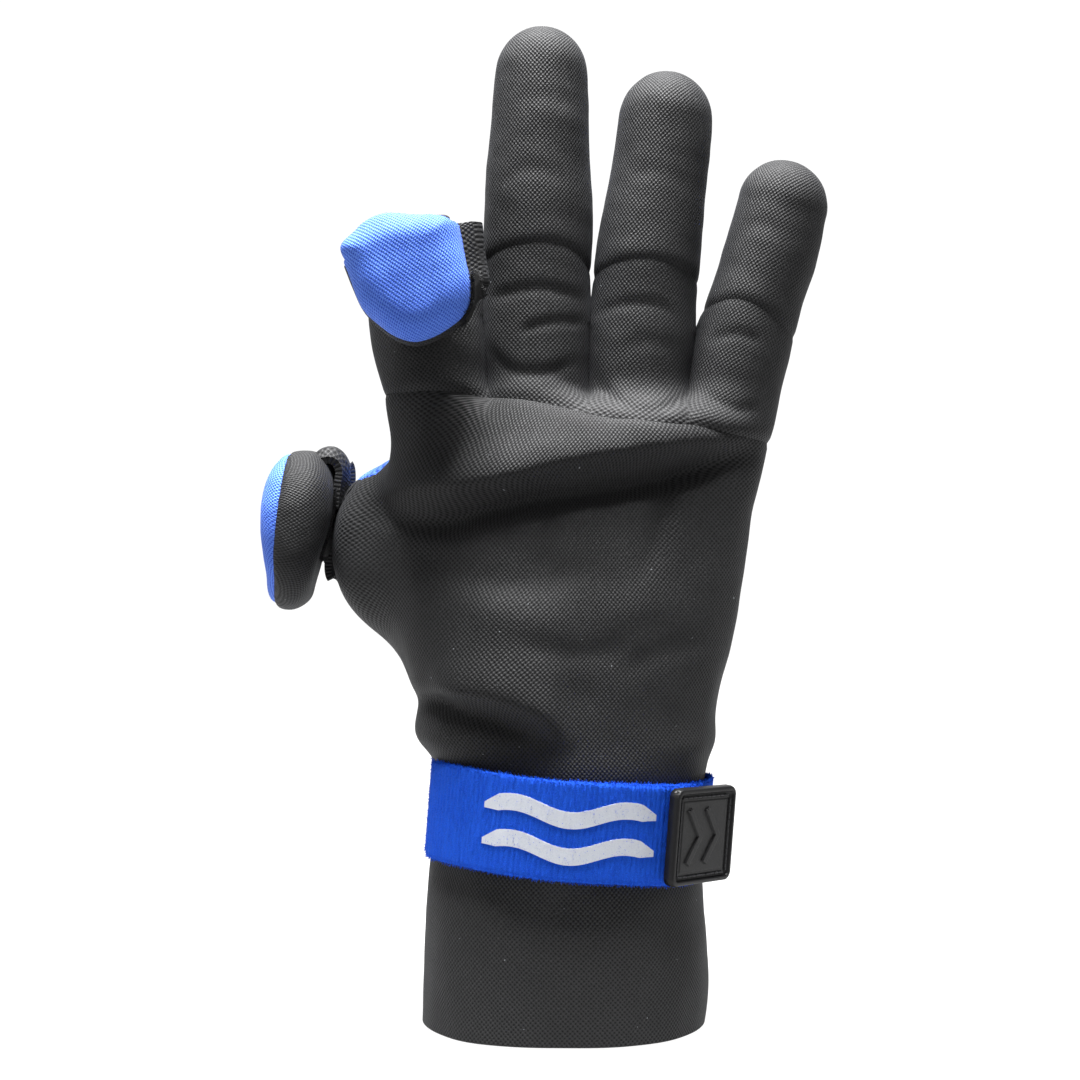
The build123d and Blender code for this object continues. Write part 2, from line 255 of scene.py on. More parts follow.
def one_finger_shape(name):
    def shape(p):
        return join(palm_shape(p), finger_shape(p, name), FINGER_FILLET)
    return shape


# ------------------------------------------------------------------ meshing a form
def surface(shape, low, high, cell):
    """The skin where shape is zero, as points and four-sided faces (surface nets)."""
    low, high = np.asarray(low, float), np.asarray(high, float)
    counts = np.ceil((high - low) / cell).astype(int) + 1
    axes = [low[i] + cell * np.arange(counts[i]) for i in range(3)]
    grid = np.stack(np.meshgrid(*axes, indexing="ij"), -1).reshape(-1, 3)
    value = np.concatenate([shape(part) for part in np.array_split(grid, 24)]).reshape(counts)
    inside = value < 0
    cells = counts - 1
    place, hits = np.zeros((*cells, 3)), np.zeros(cells)
    crossings = []
    for axis in range(3):
        ends = [slice(None)] * 3
        starts = [slice(None)] * 3
        starts[axis], ends[axis] = slice(0, -1), slice(1, None)
        a, b = value[tuple(starts)], value[tuple(ends)]
        cross = inside[tuple(starts)] != inside[tuple(ends)]
        t = np.where(cross, a / np.where(cross, a - b, 1), 0)
        at = np.stack(np.meshgrid(*[np.arange(n) for n in a.shape], indexing="ij"), -1).astype(float)
        at[..., axis] += t
        crossings.append((cross, inside[tuple(starts)]))
        others = [k for k in range(3) if k != axis]
        for shift in ((0, 0), (0, 1), (1, 0), (1, 1)):
            window = [slice(None)] * 3
            for k, d in zip(others, shift):
                window[k] = slice(d, d + cells[k])
            window = tuple(window)
            place += np.where(cross[window][..., None], at[window], 0)
            hits += cross[window]
    active = hits > 0
    number = np.full(cells, -1)
    number[active] = np.arange(active.sum())
    points = low + cell * place[active] / hits[active][:, None]
    faces = []
    for axis, (cross, starts_inside) in enumerate(crossings):
        b, c = [k for k in range(3) if k != axis]
        inner = [slice(None)] * 3
        inner[b], inner[c] = slice(1, cells[b]), slice(1, cells[c])
        where = np.argwhere(cross[tuple(inner)])
        where[:, b] += 1
        where[:, c] += 1
        corners = []
        for db, dc in ((-1, -1), (0, -1), (0, 0), (-1, 0)):
            k = where.copy()
            k[:, b] += db
            k[:, c] += dc
            corners.append(number[k[:, 0], k[:, 1], k[:, 2]])
        quad = np.stack(corners, 1)
        flip = starts_inside[where[:, 0], where[:, 1], where[:, 2]]
        if axis == 1:
            flip = ~flip
        faces.append(np.where(flip[:, None], quad, quad[:, ::-1]))
    return points, np.concatenate(faces)


def slopes(shape, points, h=0.15):
    base = shape(points)
    return base, np.stack([(shape(points + h * np.eye(3)[k]) - base) / h for k in range(3)], 1)


def settle(shape, points, faces, rounds=4):
    """Evens out the points over the skin and moves them exactly onto it."""
    edges = np.concatenate([faces[:, [0, 1]], faces[:, [1, 2]], faces[:, [2, 3]], faces[:, [3, 0]]])
    edges = np.unique(np.sort(edges, 1), axis=0)
    count = np.bincount(edges.ravel(), minlength=len(points))[:, None]
    for _ in range(rounds):
        total = np.zeros_like(points)
        for k in range(3):
            total[:, k] = np.bincount(edges[:, 0], points[edges[:, 1], k], len(points))
            total[:, k] += np.bincount(edges[:, 1], points[edges[:, 0], k], len(points))
        points = points + 0.6 * (total / np.maximum(count, 1) - points)
        value, slope = slopes(shape, points)
        points = points - (value / np.maximum((slope**2).sum(1), 0.05))[:, None] * slope
    return points


def face_normals(points, faces):
    a, b, c = points[faces[:, 0]], points[faces[:, 1]], points[faces[:, 2]]
    return np.cross(b - a, c - a)


def vertex_normals(points, triangles):
    flat = face_normals(points, triangles)
    total = np.zeros_like(points)
    for corner in range(3):
        for k in range(3):
            total[:, k] += np.bincount(triangles[:, corner], flat[:, k], len(points))
    return total / np.maximum(np.linalg.norm(total, axis=1), 1e-9)[:, None]


def split_quads(faces):
    return np.concatenate([faces[:, [0, 1, 2]], faces[:, [0, 2, 3]]])


def skin_of(shape, low, high, cell, sculpt=None, rounds=4):
    """(points with normals as six columns, triangles), sculpted along its normals."""
    points, quads = surface(shape, low, high, cell)
    points = settle(shape, points, quads, rounds)
    triangles = split_quads(quads)
    if sculpt:
        normals = vertex_normals(points, triangles)
        points = points + sculpt(points, normals)[:, None] * normals
    normals = vertex_normals(points, triangles)
    return np.hstack([points, normals]), triangles


def clip(skin, *fields):
    """The part of a skin where every field(points, normals) is above zero, cut cleanly."""
    for field in fields:
        skin = cut_by(skin, field)
    return skin


def cut_by(skin, field):
    data, triangles = skin
    if not len(triangles):
        return skin
    value = field(data[:, :3], data[:, 3:6])
    value = np.where(np.abs(value) < 0.1, 0.0, value)
    sign = np.sign(value).astype(int)
    corner_signs = sign[triangles]
    highs, lows = (corner_signs > 0).sum(1), (corner_signs < 0).sum(1)
    kept = [triangles[(lows == 0) & (highs > 0)]]
    mixed = triangles[(lows > 0) & (highs > 0)]
    mixed_signs = sign[mixed]
    edges = np.concatenate([mixed[:, [0, 1]], mixed[:, [1, 2]], mixed[:, [2, 0]]])
    edges = np.unique(np.sort(edges, 1), axis=0)
    edges = edges[sign[edges[:, 0]] * sign[edges[:, 1]] < 0]
    t = value[edges[:, 0]] / (value[edges[:, 0]] - value[edges[:, 1]])
    added = data[edges[:, 0]] + t[:, None] * (data[edges[:, 1]] - data[edges[:, 0]])
    key = edges[:, 0].astype(np.int64) * len(data) + edges[:, 1]

    def cut(a, b):
        """The point where the line from a, above zero, meets zero on the way to b."""
        pair = np.minimum(a, b).astype(np.int64) * len(data) + np.maximum(a, b)
        if not len(key):
            return b
        found = np.clip(np.searchsorted(key, pair), 0, len(key) - 1)
        return np.where(sign[b] == 0, b, len(data) + found)

    for lone_sign in (1, -1):
        for k in range(3):
            a, b, c = mixed[:, k], mixed[:, (k + 1) % 3], mixed[:, (k + 2) % 3]
            sa, sb, sc = (mixed_signs[:, (k + d) % 3] for d in range(3))
            if lone_sign == 1:
                pick = (sa > 0) & (sb <= 0) & (sc <= 0)
                a, b, c = a[pick], b[pick], c[pick]
                kept.append(np.stack([a, cut(a, b), cut(a, c)], 1))
            else:
                pick = (sa < 0) & (sb > 0) & (sc > 0)
                a, b, c = a[pick], b[pick], c[pick]
                first, second = cut(b, a), cut(c, a)
                kept.append(np.stack([b, c, second], 1))
                kept.append(np.stack([b, second, first], 1))
    faces = np.concatenate(kept)
    data = np.concatenate([data, added])
    real = (faces[:, 0] != faces[:, 1]) & (faces[:, 1] != faces[:, 2]) & (faces[:, 2] != faces[:, 0])
    return tidy(data, np.unique(faces[real], axis=0))


def tidy(data, faces):
    """Drops points that no face uses."""
    used = np.unique(faces)
    number = np.full(len(data), -1)
    number[used] = np.arange(len(used))
    return data[used], number[faces]


def grid_quads(grid, first=0):
    """Faces of a grid of points, numbered in reading order from first."""
    index = first + np.arange(grid.size).reshape(grid.shape)
    return np.stack([index[:-1, :-1], index[1:, :-1], index[1:, 1:], index[:-1, 1:]], -1).reshape(-1, 4)


def facing(points, quads, towards):
    """A skin from a grid, turned so that its normals point towards a direction or along given ones."""
    triangles = split_quads(quads)
    normals = vertex_normals(points, triangles)
    if (towards * normals).sum() < 0:
        triangles, normals = triangles[:, ::-1], -normals
    return np.hstack([points, normals]), triangles


def rim_edges(faces):
    """Directed edges that belong to one face only."""
    edges = np.concatenate([faces[:, [0, 1]], faces[:, [1, 2]], faces[:, [2, 0]]])
    size = faces.max() + 1
    forward = edges[:, 0].astype(np.int64) * size + edges[:, 1]
    backward = edges[:, 1].astype(np.int64) * size + edges[:, 0]
    return edges[~np.isin(forward, backward)]


# ------------------------------------------------------------------ sculpting folds and seams
def ripple(p, size, seed):
    """Smooth random field between about -1 and 1 with bumps about size across."""
    dice = np.random.default_rng(seed)
    total = np.zeros(len(p))
    for _ in range(9):
        direction = unit(dice.normal(size=3))
        total += np.sin(p @ direction * (2 * math.pi / size) * dice.uniform(0.6, 1.4) + dice.uniform(0, 6.28))
    return total / 4


def line_gap(a, b, line):
    """Distance from points (a, b) to the line b = f(a), above it positive, and a fade at its ends."""
    xs, ys = np.array(line, float).T
    slope = (curve(a + 0.5, xs, ys) - curve(a - 0.5, xs, ys))
    gap = (b - curve(a, xs, ys)) / np.sqrt(1 + slope**2)
    end = 0.22 * (xs[-1] - xs[0])
    return gap, step(a, xs[0] - end / 2, xs[0] + end) * step(-a, -xs[-1] - end / 2, -xs[-1] + end)


def groove(a, b, line, depth, width):
    gap, fade = line_gap(a, b, line)
    return -depth * fade * hump(gap, width)


def bulge(a, b, line, height, under, above):
    gap, fade = line_gap(a, b, line)
    return height * fade * hump(gap, np.where(gap < 0, under, above))


KNUCKLES = ((-60, 164.8), (-45.7, 164.8), (-31.5, 165), (-21, 164), (-12.5, 163.2), (-6.7, 162.2),
            (0.4, 160.6), (6.1, 159.1), (11.1, 158.1), (18.2, 157.4), (25.2, 156.6), (32.3, 156.2),
            (42.3, 153.8), (51.5, 152.2), (60, 151.6))
BIG_CREST = ((-46, 140.0), (-38.7, 140.5), (-28, 140.9), (-13.8, 143.1), (0.3, 146.8), (14.6, 149.5),
             (28.9, 151.6), (41, 153.2))
BIG_VALLEY = ((-47, 133.0), (-32.3, 131.5), (-23, 133.9), (-15.4, 136), (-6.6, 137.6), (4, 138.9),
              (21.7, 142.1), (35.5, 145.8), (49.5, 150))
WRIST_CREST = ((-33, 90.5), (-26, 89.3), (-17.5, 87.7), (-10.3, 85.1), (-5.3, 82.2), (0.3, 77.1))
WRIST_VALLEY = ((-38.4, 85.9), (-31.5, 84.3), (-26.5, 82.7), (-20.9, 81.4), (-14.8, 79.5), (-9, 78.2))


# crests on the back: line as (x, z), height, width below and above it
CRESTS = (
    (BIG_CREST, 5.0, 3.6, 11.0),
    (WRIST_CREST, 3.0, 2.8, 7.5),
    (((-30, 112), (-10, 108), (12, 109), (30, 113)), 0.7, 5.0, 7.0),
)
# hollows on the back: line as (x, z), depth, width
HOLLOWS = (
    (BIG_VALLEY, 3.3, 3.3),
    (WRIST_VALLEY, 2.2, 2.3),
    (((-40, 122), (-22, 117), (-8, 116), (6, 119)), 0.7, 4.0),
    (((14, 95), (26, 99), (38, 101)), 0.5, 3.0),
    (((-14, 101), (2, 98), (16, 100)), 0.5, 3.0),
    (((-4, 170.5), (4, 166), (11, 165.8)), 0.9, 1.7),
)
# hollows that run along the hand: line as (z, x), depth, width
LONG_HOLLOWS = (
    (((118, 20), (132, 24), (146, 27)), 0.6, 3.0),
    (((118, -6), (128, -4.5), (137, -4)), 0.5, 3.0),
)
STRAP_LINE = 54.5       # height of the strap's middle
STRAP_SLOPE = -0.077


def hand_sculpt(p, n):
    x, y, z = p.T
    back = step(-n[:, 1], 0.0, 0.45) * (1 - step(-x, 46, 56))
    push = sum(bulge(x, z, *crest) for crest in CRESTS)
    push += sum(groove(x, z, *hollow) for hollow in HOLLOWS)
    push += sum(groove(z, x, *hollow) for hollow in LONG_HOLLOWS)
    push *= back
    # folds that reach round the thumb's side, and a swelling above the strap on the other
    thumb_side = step(-n[:, 0], 0.2, 0.8) * step(-y, -16, -4)
    push += thumb_side * (1.8 * hump(z - 76, 4.5) - 0.8 * hump(z - 84.5, 3.0))
    push += step(n[:, 0], 0.2, 0.8) * 1.0 * hump(z - 74, 4.0)
    # the strap pulls the wrist in, and the cuff flares below it
    upright = step(np.abs(n[:, 2]) * -1, -0.9, -0.5)
    push -= 0.9 * np.exp(-(((z - STRAP_LINE - STRAP_SLOPE * x) / 11) ** 4)) * upright
    push += 0.35 * ripple(p, 26, 3) + 0.12 * ripple(p, 11, 4)
    return push


# per finger: the back seam across its middle as (x, z), and wrinkles as grooves
MIDDLE_SEAMS = {
    "middle": ((-24, 198.5), (-20.7, 200.4), (-15, 202.5), (-9.5, 203.3), (-4, 203.3), (-0.5, 202.6),
               (3.5, 200.6), (6.4, 197.7), (9, 195.5)),
    "ring": ((5, 194.5), (8, 196.7), (14, 198.8), (20.7, 199.2), (28, 197.8), (34.2, 194.8), (38, 192.5)),
    "pinky": ((33, 186.2), (36.3, 187.7), (43.2, 189.2), (49, 187.4), (54, 184.3), (58.6, 181), (62, 179)),
}
WRINKLES = {
    "index": [((-40, 196), (-30, 193), (-22, 195), 0.6, 2.0)],
    "middle": [((-19.5, 190), (-14, 190.8), (-5, 191.4), (4, 189.5), 0.85, 1.6),
               ((-12, 180.6), (-5, 182.6), (5, 183.2), 0.9, 1.5),
               ((-20.4, 176.0), (-16, 171.6), (-8, 169.6), (2, 172), 0.9, 1.7),
               ((-16, 221), (-8, 222), (0, 220.4), 0.35, 2.4),
               ((-14, 240), (-6, 241.5), (2, 240), 0.35, 3.0)],
    "ring": [((8, 186), (15, 187.6), (23, 187.4), (29, 185), 0.7, 1.7),
             ((7, 168.0), (14, 160.9), (22, 158.8), (31, 163), 1.1, 2.0),
             ((16, 221), (24, 222), (32, 219.5), 0.3, 2.6),
             ((14, 176.5), (22, 177.6), (29, 176), 0.4, 2.2)],
    "pinky": [((37, 178.6), (43, 180.0), (50, 178.4), 0.6, 1.6),
              ((36, 163.5), (43, 160.2), (50, 161), 0.8, 1.8),
              ((44, 207), (50, 208.4), (56, 206), 0.3, 2.4)],
}


def finger_sculpt(name):
    def sculpt(p, n):
        x, _, z = p.T
        s = finger_local(p, name)[2]
        back = step(-n[:, 1], 0.0, 0.45)
        push = np.zeros(len(p))
        if name in MIDDLE_SEAMS:
            gap, _ = line_gap(x, z, MIDDLE_SEAMS[name])
            push += (0.26 * hump(gap - 2.8, 3.2) - 0.10 * hump(gap + 1.4, 1.6)) * back
        for *line, depth, width in WRINKLES[name]:
            above = [(a, b + 2.2 * width) for a, b in line]
            push += groove(x, z, line, 0.6 * depth, 0.85 * width) * back
            push += 0.12 * bulge(x, z, above, depth, width, 1.6 * width) * back
        push += hand_sculpt(p, n) * step(-knuckle_gap(p), -13, 0)
        push += 0.16 * ripple(p, 19, FINGER_NAMES.index(name) + 20) * step(s, -6, 10) + 0.05 * ripple(p, 8, 9)
        push += bulge(x, z, [(a, b + 2.5) for a, b in KNUCKLES], 0.5, 2.0, 3.5) * back
        return push
    return sculpt


def closed(faces, count):
    """Faces of a closed sheet: outer side, inner side with points count further on, and the rim."""
    rims = rim_edges(faces)
    rim = np.stack([rims[:, 1], rims[:, 0], rims[:, 0] + count, rims[:, 1] + count], 1)
    return faces.tolist() + (faces[:, ::-1] + count).tolist() + rim.tolist()


def rolled(skin, seams):
    """Rolls the skin's edge in along seams, given as (distance field, depth)."""
    data, faces = skin
    points, normals = data[:, :3], data[:, 3:6]
    drop = np.zeros(len(points))
    for field, depth in seams:
        gap = np.abs(field(points, normals))
        drop = np.maximum(drop, depth * (0.7 * hump(gap, 0.7) + 0.3 * hump(gap, 2.2)))
    moved = points - drop[:, None] * normals
    fresh = vertex_normals(moved, faces)
    mix = step(drop, 0.0, 0.06)[:, None]
    fresh = normals * (1 - mix) + fresh * mix
    fresh /= np.maximum(np.linalg.norm(fresh, axis=1), 1e-9)[:, None]
    return np.hstack([moved, fresh]), faces


# ------------------------------------------------------------------ making pieces
def mesh_object(name, points, faces, material):
    mesh = bpy.data.meshes.new(name)
    mesh.from_pydata((np.asarray(points) * MM).tolist(), [], [list(map(int, face)) for face in faces])
    mesh.update()
    mesh.materials.append(material)
    for polygon in mesh.polygons:
        polygon.use_smooth = True
    obj = bpy.data.objects.new(name, mesh)
    bpy.context.scene.collection.objects.link(obj)
    return obj


def add_cloth(obj, uv):
    """Stores where each point lies on the flat fabric, in millimetres."""
    attribute = obj.data.attributes.new("cloth", "FLOAT_VECTOR", "POINT")
    flat = np.zeros((len(obj.data.vertices), 3), np.float32)
    flat[:, :2] = uv
    attribute.data.foreach_set("vector", flat.ravel())


def sheet_object(name, skin, thickness, material, cloth, lining=None):
    """A closed sheet of fabric whose outer face is the skin, the rest of it in the lining's material."""
    data, faces = skin
    outer, normals = data[:, :3], data[:, 3:6]
    inner = outer - thickness * normals
    everything = closed(faces, len(outer))
    obj = mesh_object(name, np.vstack([outer, inner]), everything, material)
    smooth = np.ones(len(everything), bool)
    smooth[2 * len(faces):] = False
    obj.data.polygons.foreach_set("use_smooth", smooth)
    if lining:
        obj.data.materials.append(lining)
        hidden = np.arange(len(everything)) >= len(faces)
        obj.data.polygons.foreach_set("material_index", hidden.astype(np.int32))
    loops = np.zeros((sum(map(len, everything)), 3))
    loops[:3 * len(faces)] = normals[faces.ravel()]
    obj.data.normals_split_custom_set(loops.tolist())
    uv = cloth(outer, normals)
    add_cloth(obj, np.vstack([uv, uv]))
    return obj


def world(point):
    return [float(c) * MM for c in point]


# flat-fabric coordinates
def ellipse_arcs(half_width=41.0, half_depth=25.0):
    angle = np.linspace(0, math.pi, 400)
    edge = np.stack([half_width * np.sin(angle), -half_depth * np.cos(angle)], 1)
    arc = np.concatenate([[0], np.cumsum(np.linalg.norm(np.diff(edge, axis=0), axis=1))])
    return angle, arc


ARC_ANGLES, ARC_LENGTHS = ellipse_arcs()


def hand_cloth(p, n, palm=False):
    x, y, z = p.T
    left, right = curve(z, HAND[:, 0], HAND[:, 1]), curve(z, HAND[:, 0], HAND[:, 2])
    across = x - (left + right) / 2
    angle = np.arctan2(np.abs(across) / 41, (y if palm else -y) / 25)
    return np.stack([np.sign(across) * np.interp(angle, ARC_ANGLES, ARC_LENGTHS), z], 1)


def palm_cloth(p, n):
    return hand_cloth(p, n, True)


def finger_cloth(name, palm=False):
    def cloth(p, n):
        u, v, s = finger_local(p, name)
        end = FINGERS[name]["length"] - 12.5
        past = np.clip(s - end, 0, 12.4)
        arc = np.minimum(s, end) + 12.5 * np.arcsin(past / 12.5)
        return np.stack([np.arctan2(u, v if palm else -v) * np.minimum(np.hypot(u, v), 13.0), arc], 1)
    return cloth


def thumb_cloth(palm):
    def cloth(p, n):
        u, v, s = thumb_local(p)
        return np.stack([np.arctan2(u, v if palm else -v) * 14.5, s], 1)
    return cloth


# ------------------------------------------------------------------ materials
def srgb(r, g, b):
    def linear(c):
        c /= 255
        return c / 12.92 if c <= 0.04045 else ((c + 0.055) / 1.055) ** 2.4
    return (linear(r), linear(g), linear(b), 1)


class Nodes:
    """A small helper to build a material's node tree."""

    def __init__(self, name):
        self.material = bpy.data.materials.new(name)
        self.material.use_nodes = True
        self.tree = self.material.node_tree
        self.shader = self.tree.nodes["Principled BSDF"]

    def put(self, socket, value):
        if hasattr(value, "is_output"):
            self.tree.links.new(value, socket)
        else:
            socket.default_value = value

    def math(self, operation, a, b=0.0, c=0.0):
        node = self.tree.nodes.new("ShaderNodeMath")
        node.operation = operation
        for socket, value in zip(node.inputs, (a, b, c)):
            self.put(socket, value)
        return node.outputs[0]

    def cloth(self):
        """(u, v, 0) in millimetres on the flat fabric."""
        node = self.tree.nodes.new("ShaderNodeAttribute")
        node.attribute_name = "cloth"
        return node.outputs["Vector"]

    def place(self):
        return self.tree.nodes.new("ShaderNodeTexCoord").outputs["Object"]

    def length(self, vector):
        node = self.tree.nodes.new("ShaderNodeVectorMath")
        node.operation = "LENGTH"
        self.put(node.inputs[0], vector)
        return node.outputs["Value"]

    def parts(self, vector):
        node = self.tree.nodes.new("ShaderNodeSeparateXYZ")
        self.put(node.inputs[0], vector)
        return node.outputs

    def noise(self, vector, scale, detail=2.0, roughness=0.5):
        node = self.tree.nodes.new("ShaderNodeTexNoise")
        self.put(node.inputs["Vector"], vector)
        node.inputs["Scale"].default_value = scale
        node.inputs["Detail"].default_value = detail
        node.inputs["Roughness"].default_value = roughness
        return node.outputs["Fac"]

    def ramp(self, value, low, high, a=0.0, b=1.0):
        node = self.tree.nodes.new("ShaderNodeMapRange")
        node.interpolation_type = "SMOOTHSTEP"
        for socket, number in zip(node.inputs, (value, low, high, a, b)):
            self.put(socket, number)
        return node.outputs[0]

    def mix(self, factor, a, b):
        node = self.tree.nodes.new("ShaderNodeMix")
        node.data_type = "RGBA"
        sockets = [s for s in node.inputs if s.type == "RGBA"]
        self.put(node.inputs[0], factor)
        self.put(sockets[0], a)
        self.put(sockets[1], b)
        return [s for s in node.outputs if s.type == "RGBA"][0]

    def bump(self, height, distance, strength=1.0):
        node = self.tree.nodes.new("ShaderNodeBump")
        node.inputs["Strength"].default_value = strength
        node.inputs["Distance"].default_value = distance
        self.put(node.inputs["Height"], height)
        self.tree.links.new(node.outputs[0], self.shader.inputs["Normal"])

    def set(self, **values):
        names = dict(color="Base Color", roughness="Roughness", specular="Specular IOR Level",
                     sheen="Sheen Weight", sheen_roughness="Sheen Roughness", sheen_tint="Sheen Tint")
        for key, value in values.items():
            self.put(self.shader.inputs[names[key]], value)


def lattice(m, pitch_u, pitch_v, slant=0.0, wobble=0.04):
    """Height of a staggered knit, 0 in the pits and 1 on the loops."""
    flat = m.cloth()
    u, v, _ = m.parts(flat)
    blur = m.math("MULTIPLY", m.math("SUBTRACT", m.noise(flat, 0.55, 2.0), 0.5), 2 * wobble * pitch_u * 6)
    u = m.math("ADD", u, blur)
    if slant:
        v = m.math("ADD", v, m.math("MULTIPLY", u, slant))
    row = m.math("SINE", m.math("MULTIPLY", v, 2 * math.pi / pitch_v))
    column = m.math("SINE", m.math("MULTIPLY", u, 2 * math.pi / pitch_u))
    return m.math("MULTIPLY_ADD", m.math("MULTIPLY", row, column), 0.5, 0.5)


def knit_material(name, dark, light, pitch, slant=0.0, sheen=0.12, sheen_tint=(0.8, 0.85, 1, 1), lint=0.5,
                  rows=1.0):
    """Nylon knit glued over foam: staggered loops with painted shade darkening the pits between them, worn
    sheen and a few lint specks.
    """
    m = Nodes(name)
    weave = lattice(m, pitch, pitch * rows, slant)
    flat = m.cloth()
    wear = m.noise(flat, 0.045, 3.0)
    # painted shade: the pits between the loops are coloured darker than the loops; the fibre and wear noise
    # below are the yarn's own tone
    pit_shade = m.ramp(weave, 0.05, 0.62)
    fibre = m.noise(flat, 2.6, 3.0, 0.7)
    tone = m.math("MULTIPLY", pit_shade, m.ramp(fibre, 0.3, 0.75, 0.55, 1.0))
    tone = m.math("MULTIPLY", tone, m.ramp(wear, 0.3, 0.7, 0.78, 1.0))
    colour = m.mix(tone, dark, light)
    speck = m.ramp(m.noise(flat, 0.9, 1.0, 0.3), 0.80, 0.84, 0.0, lint)
    colour = m.mix(speck, colour, (0.55, 0.58, 0.62, 1))
    m.set(color=colour, roughness=m.ramp(weave, 0, 1, 0.80, 0.56), sheen=sheen, sheen_roughness=0.45,
          sheen_tint=sheen_tint, specular=0.30)
    height = m.math("ADD", m.math("MULTIPLY", weave, 0.75), m.math("MULTIPLY", fibre, 0.35))
    m.bump(height, 0.00028, 0.9)
    return m.material


def plain_material(name, dark, light, scale, roughness, bump, sheen=0.0, specular=0.4):
    m = Nodes(name)
    grain = m.noise(m.place(), scale, 3.0, 0.6)
    m.set(color=m.mix(grain, dark, light),
          roughness=m.ramp(grain, 0.3, 0.7, roughness + 0.06, roughness - 0.06),
          sheen=sheen, specular=specular)
    m.bump(grain, bump, 0.8)
    return m.material


def grey(level, blue=0.0):
    return (level, level, level + blue, 1)


BLACK = knit_material("black_knit", (0.0018, 0.0018, 0.002, 1), (0.031, 0.031, 0.0325, 1), 1.08, sheen=0.02,
                      rows=1.15)
BLUE = knit_material("blue_knit", srgb(26, 62, 190), srgb(108, 156, 255), 0.92, 0.35, 0.1, (0.6, 0.7, 1, 1),
                     0.2, 1.3)
WEBBING = plain_material("blue_webbing", srgb(2, 26, 140), srgb(30, 112, 255), 4200.0, 0.78, 0.0002, 0.0, 0.2)
INK = plain_material("white_print", srgb(190, 196, 208), srgb(224, 227, 233), 3000.0, 0.5, 0.00004)
RUBBER = plain_material("black_rubber", grey(0.003, 0.0005), grey(0.009, 0.001), 2500.0, 0.46, 0.00005,
                        0.0, 0.3)
THREAD = plain_material("black_thread", grey(0.008, 0.001), grey(0.05, 0.005), 4000.0, 0.6, 0.00008)
LINING = plain_material("black_lining", grey(0.004, 0.0005), grey(0.03, 0.002), 3200.0, 0.85, 0.0001,
                        0.0, 0.2)
HOOK = plain_material("hook_tape", grey(0.003), grey(0.028, 0.001), 2600.0, 0.6, 0.0002, 0.0, 0.3)
LOOP = plain_material("loop_tape", grey(0.005, 0.001), grey(0.035, 0.003), 2200.0, 0.85, 0.0003, 0.1, 0.2)


# ------------------------------------------------------------------ the hand's panels
def side_seam(p):
    """Height of the side seams in Y: less than this is the back."""
    x, _, z = p.T
    level = curve(z, (0, 60, 85, 120, 140, 165), (10, 10, 10, 8, 7, 5.5))
    return level + 26 * step(-x, 32, 44) * step(z, 88, 108) * step(-z, -144.5, -140.5)


def knuckle_gap(p, n=None):
    xs, zs = np.array(KNUCKLES).T
    return (p[:, 2] - curve(p[:, 0], xs, zs)) * 0.99


def thumb_gap(p, n=None):
    """Distance past the thumb's base seam, only near the thumb."""
    u, v, s = thumb_local(p)
    near = np.maximum(np.maximum(np.abs(u) - 24, np.abs(v) - 24), -s - 30)
    return np.where(near < 0, s - 3.4, -np.maximum(near, 3.4))


CUFF_TOP = 72.0
OVERLAP = 0.4           # how far neighbouring panels reach under each other
FAR = 50                # stands for "not near this seam"
HIDDEN_CUT = 16.0       # along the finger, where its base piece ends
# along each finger from its root: a start and an end distance, turned into points that nothing bends about
ROOT_BLEND = {"index": (-6.0, 14.0), "middle": (-10.0, 14.0), "ring": (-12.0, 14.0), "pinky": (-13.0, 11.0)}
# thickness of the sheets
HAND_FOAM = 2.5
FINGER_FOAM = 2.4
CAP_FOAM = 2.3
HINGE_FOAM = 2.2
GUSSET_FOAM = 2.0
STRAP_SHEET = 1.35
HOOK_SHEET = 0.85
LOOP_SHEET = 0.9
INK_SHEET = 0.3


def back_gap(p, n=None):
    return side_seam(p) - p[:, 1]


def palm_gap(p, n=None):
    return p[:, 1] - side_seam(p)


def cuff_gap(p, n=None):
    return CUFF_TOP - p[:, 2]


def knuckle_back(p, n):
    return np.where(n[:, 1] < 0.3, knuckle_gap(p), FAR)


def finish_panel(obj, node):
    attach(obj, "hand")
    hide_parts(node)


def build_hand():
    whole = skin_of(glove_shape, (-72, -36, -8), (64, 44, 178), 1.25, hand_sculpt)
    whole = clip(whole, lambda p, n: p[:, 2] - 0.4, lambda p, n: -knuckle_gap(p), lambda p, n: -thumb_gap(p))
    back = rolled(clip(whole, back_gap), [(back_gap, 0.5), (knuckle_back, 0.5), (thumb_gap, 0.35)])
    palm = clip(whole, palm_gap)
    cuff = rolled(clip(palm, cuff_gap), [(palm_gap, 0.6), (cuff_gap, 0.7)])
    palm = rolled(clip(palm, lambda p, n: -cuff_gap(p)), [(palm_gap, 0.6), (cuff_gap, 0.7), (thumb_gap, 0.4)])
    obj = sheet_object("back_panel_knit", back, HAND_FOAM, BLACK, hand_cloth)
    finish_panel(obj, "back_panel")
    obj = sheet_object("cuff_palm_knit", cuff, HAND_FOAM, BLACK, palm_cloth)
    finish_panel(obj, "cuff_palm_panel")
    obj = sheet_object("palm_knit", palm, HAND_FOAM, BLUE, palm_cloth, LINING)
    finish_panel(obj, "palm_panel")


def neighbour_gap(name, other):
    def gap(p, n):
        return 0.5 * (finger_shape(p, other) - finger_shape(p, name))
    return gap


def near_root(name, gap):
    """The seam between two fingers, which counts near their roots only."""
    def seam(p, n):
        return np.where(finger_local(p, name)[2] < 12, gap(p, n), FAR)
    return seam


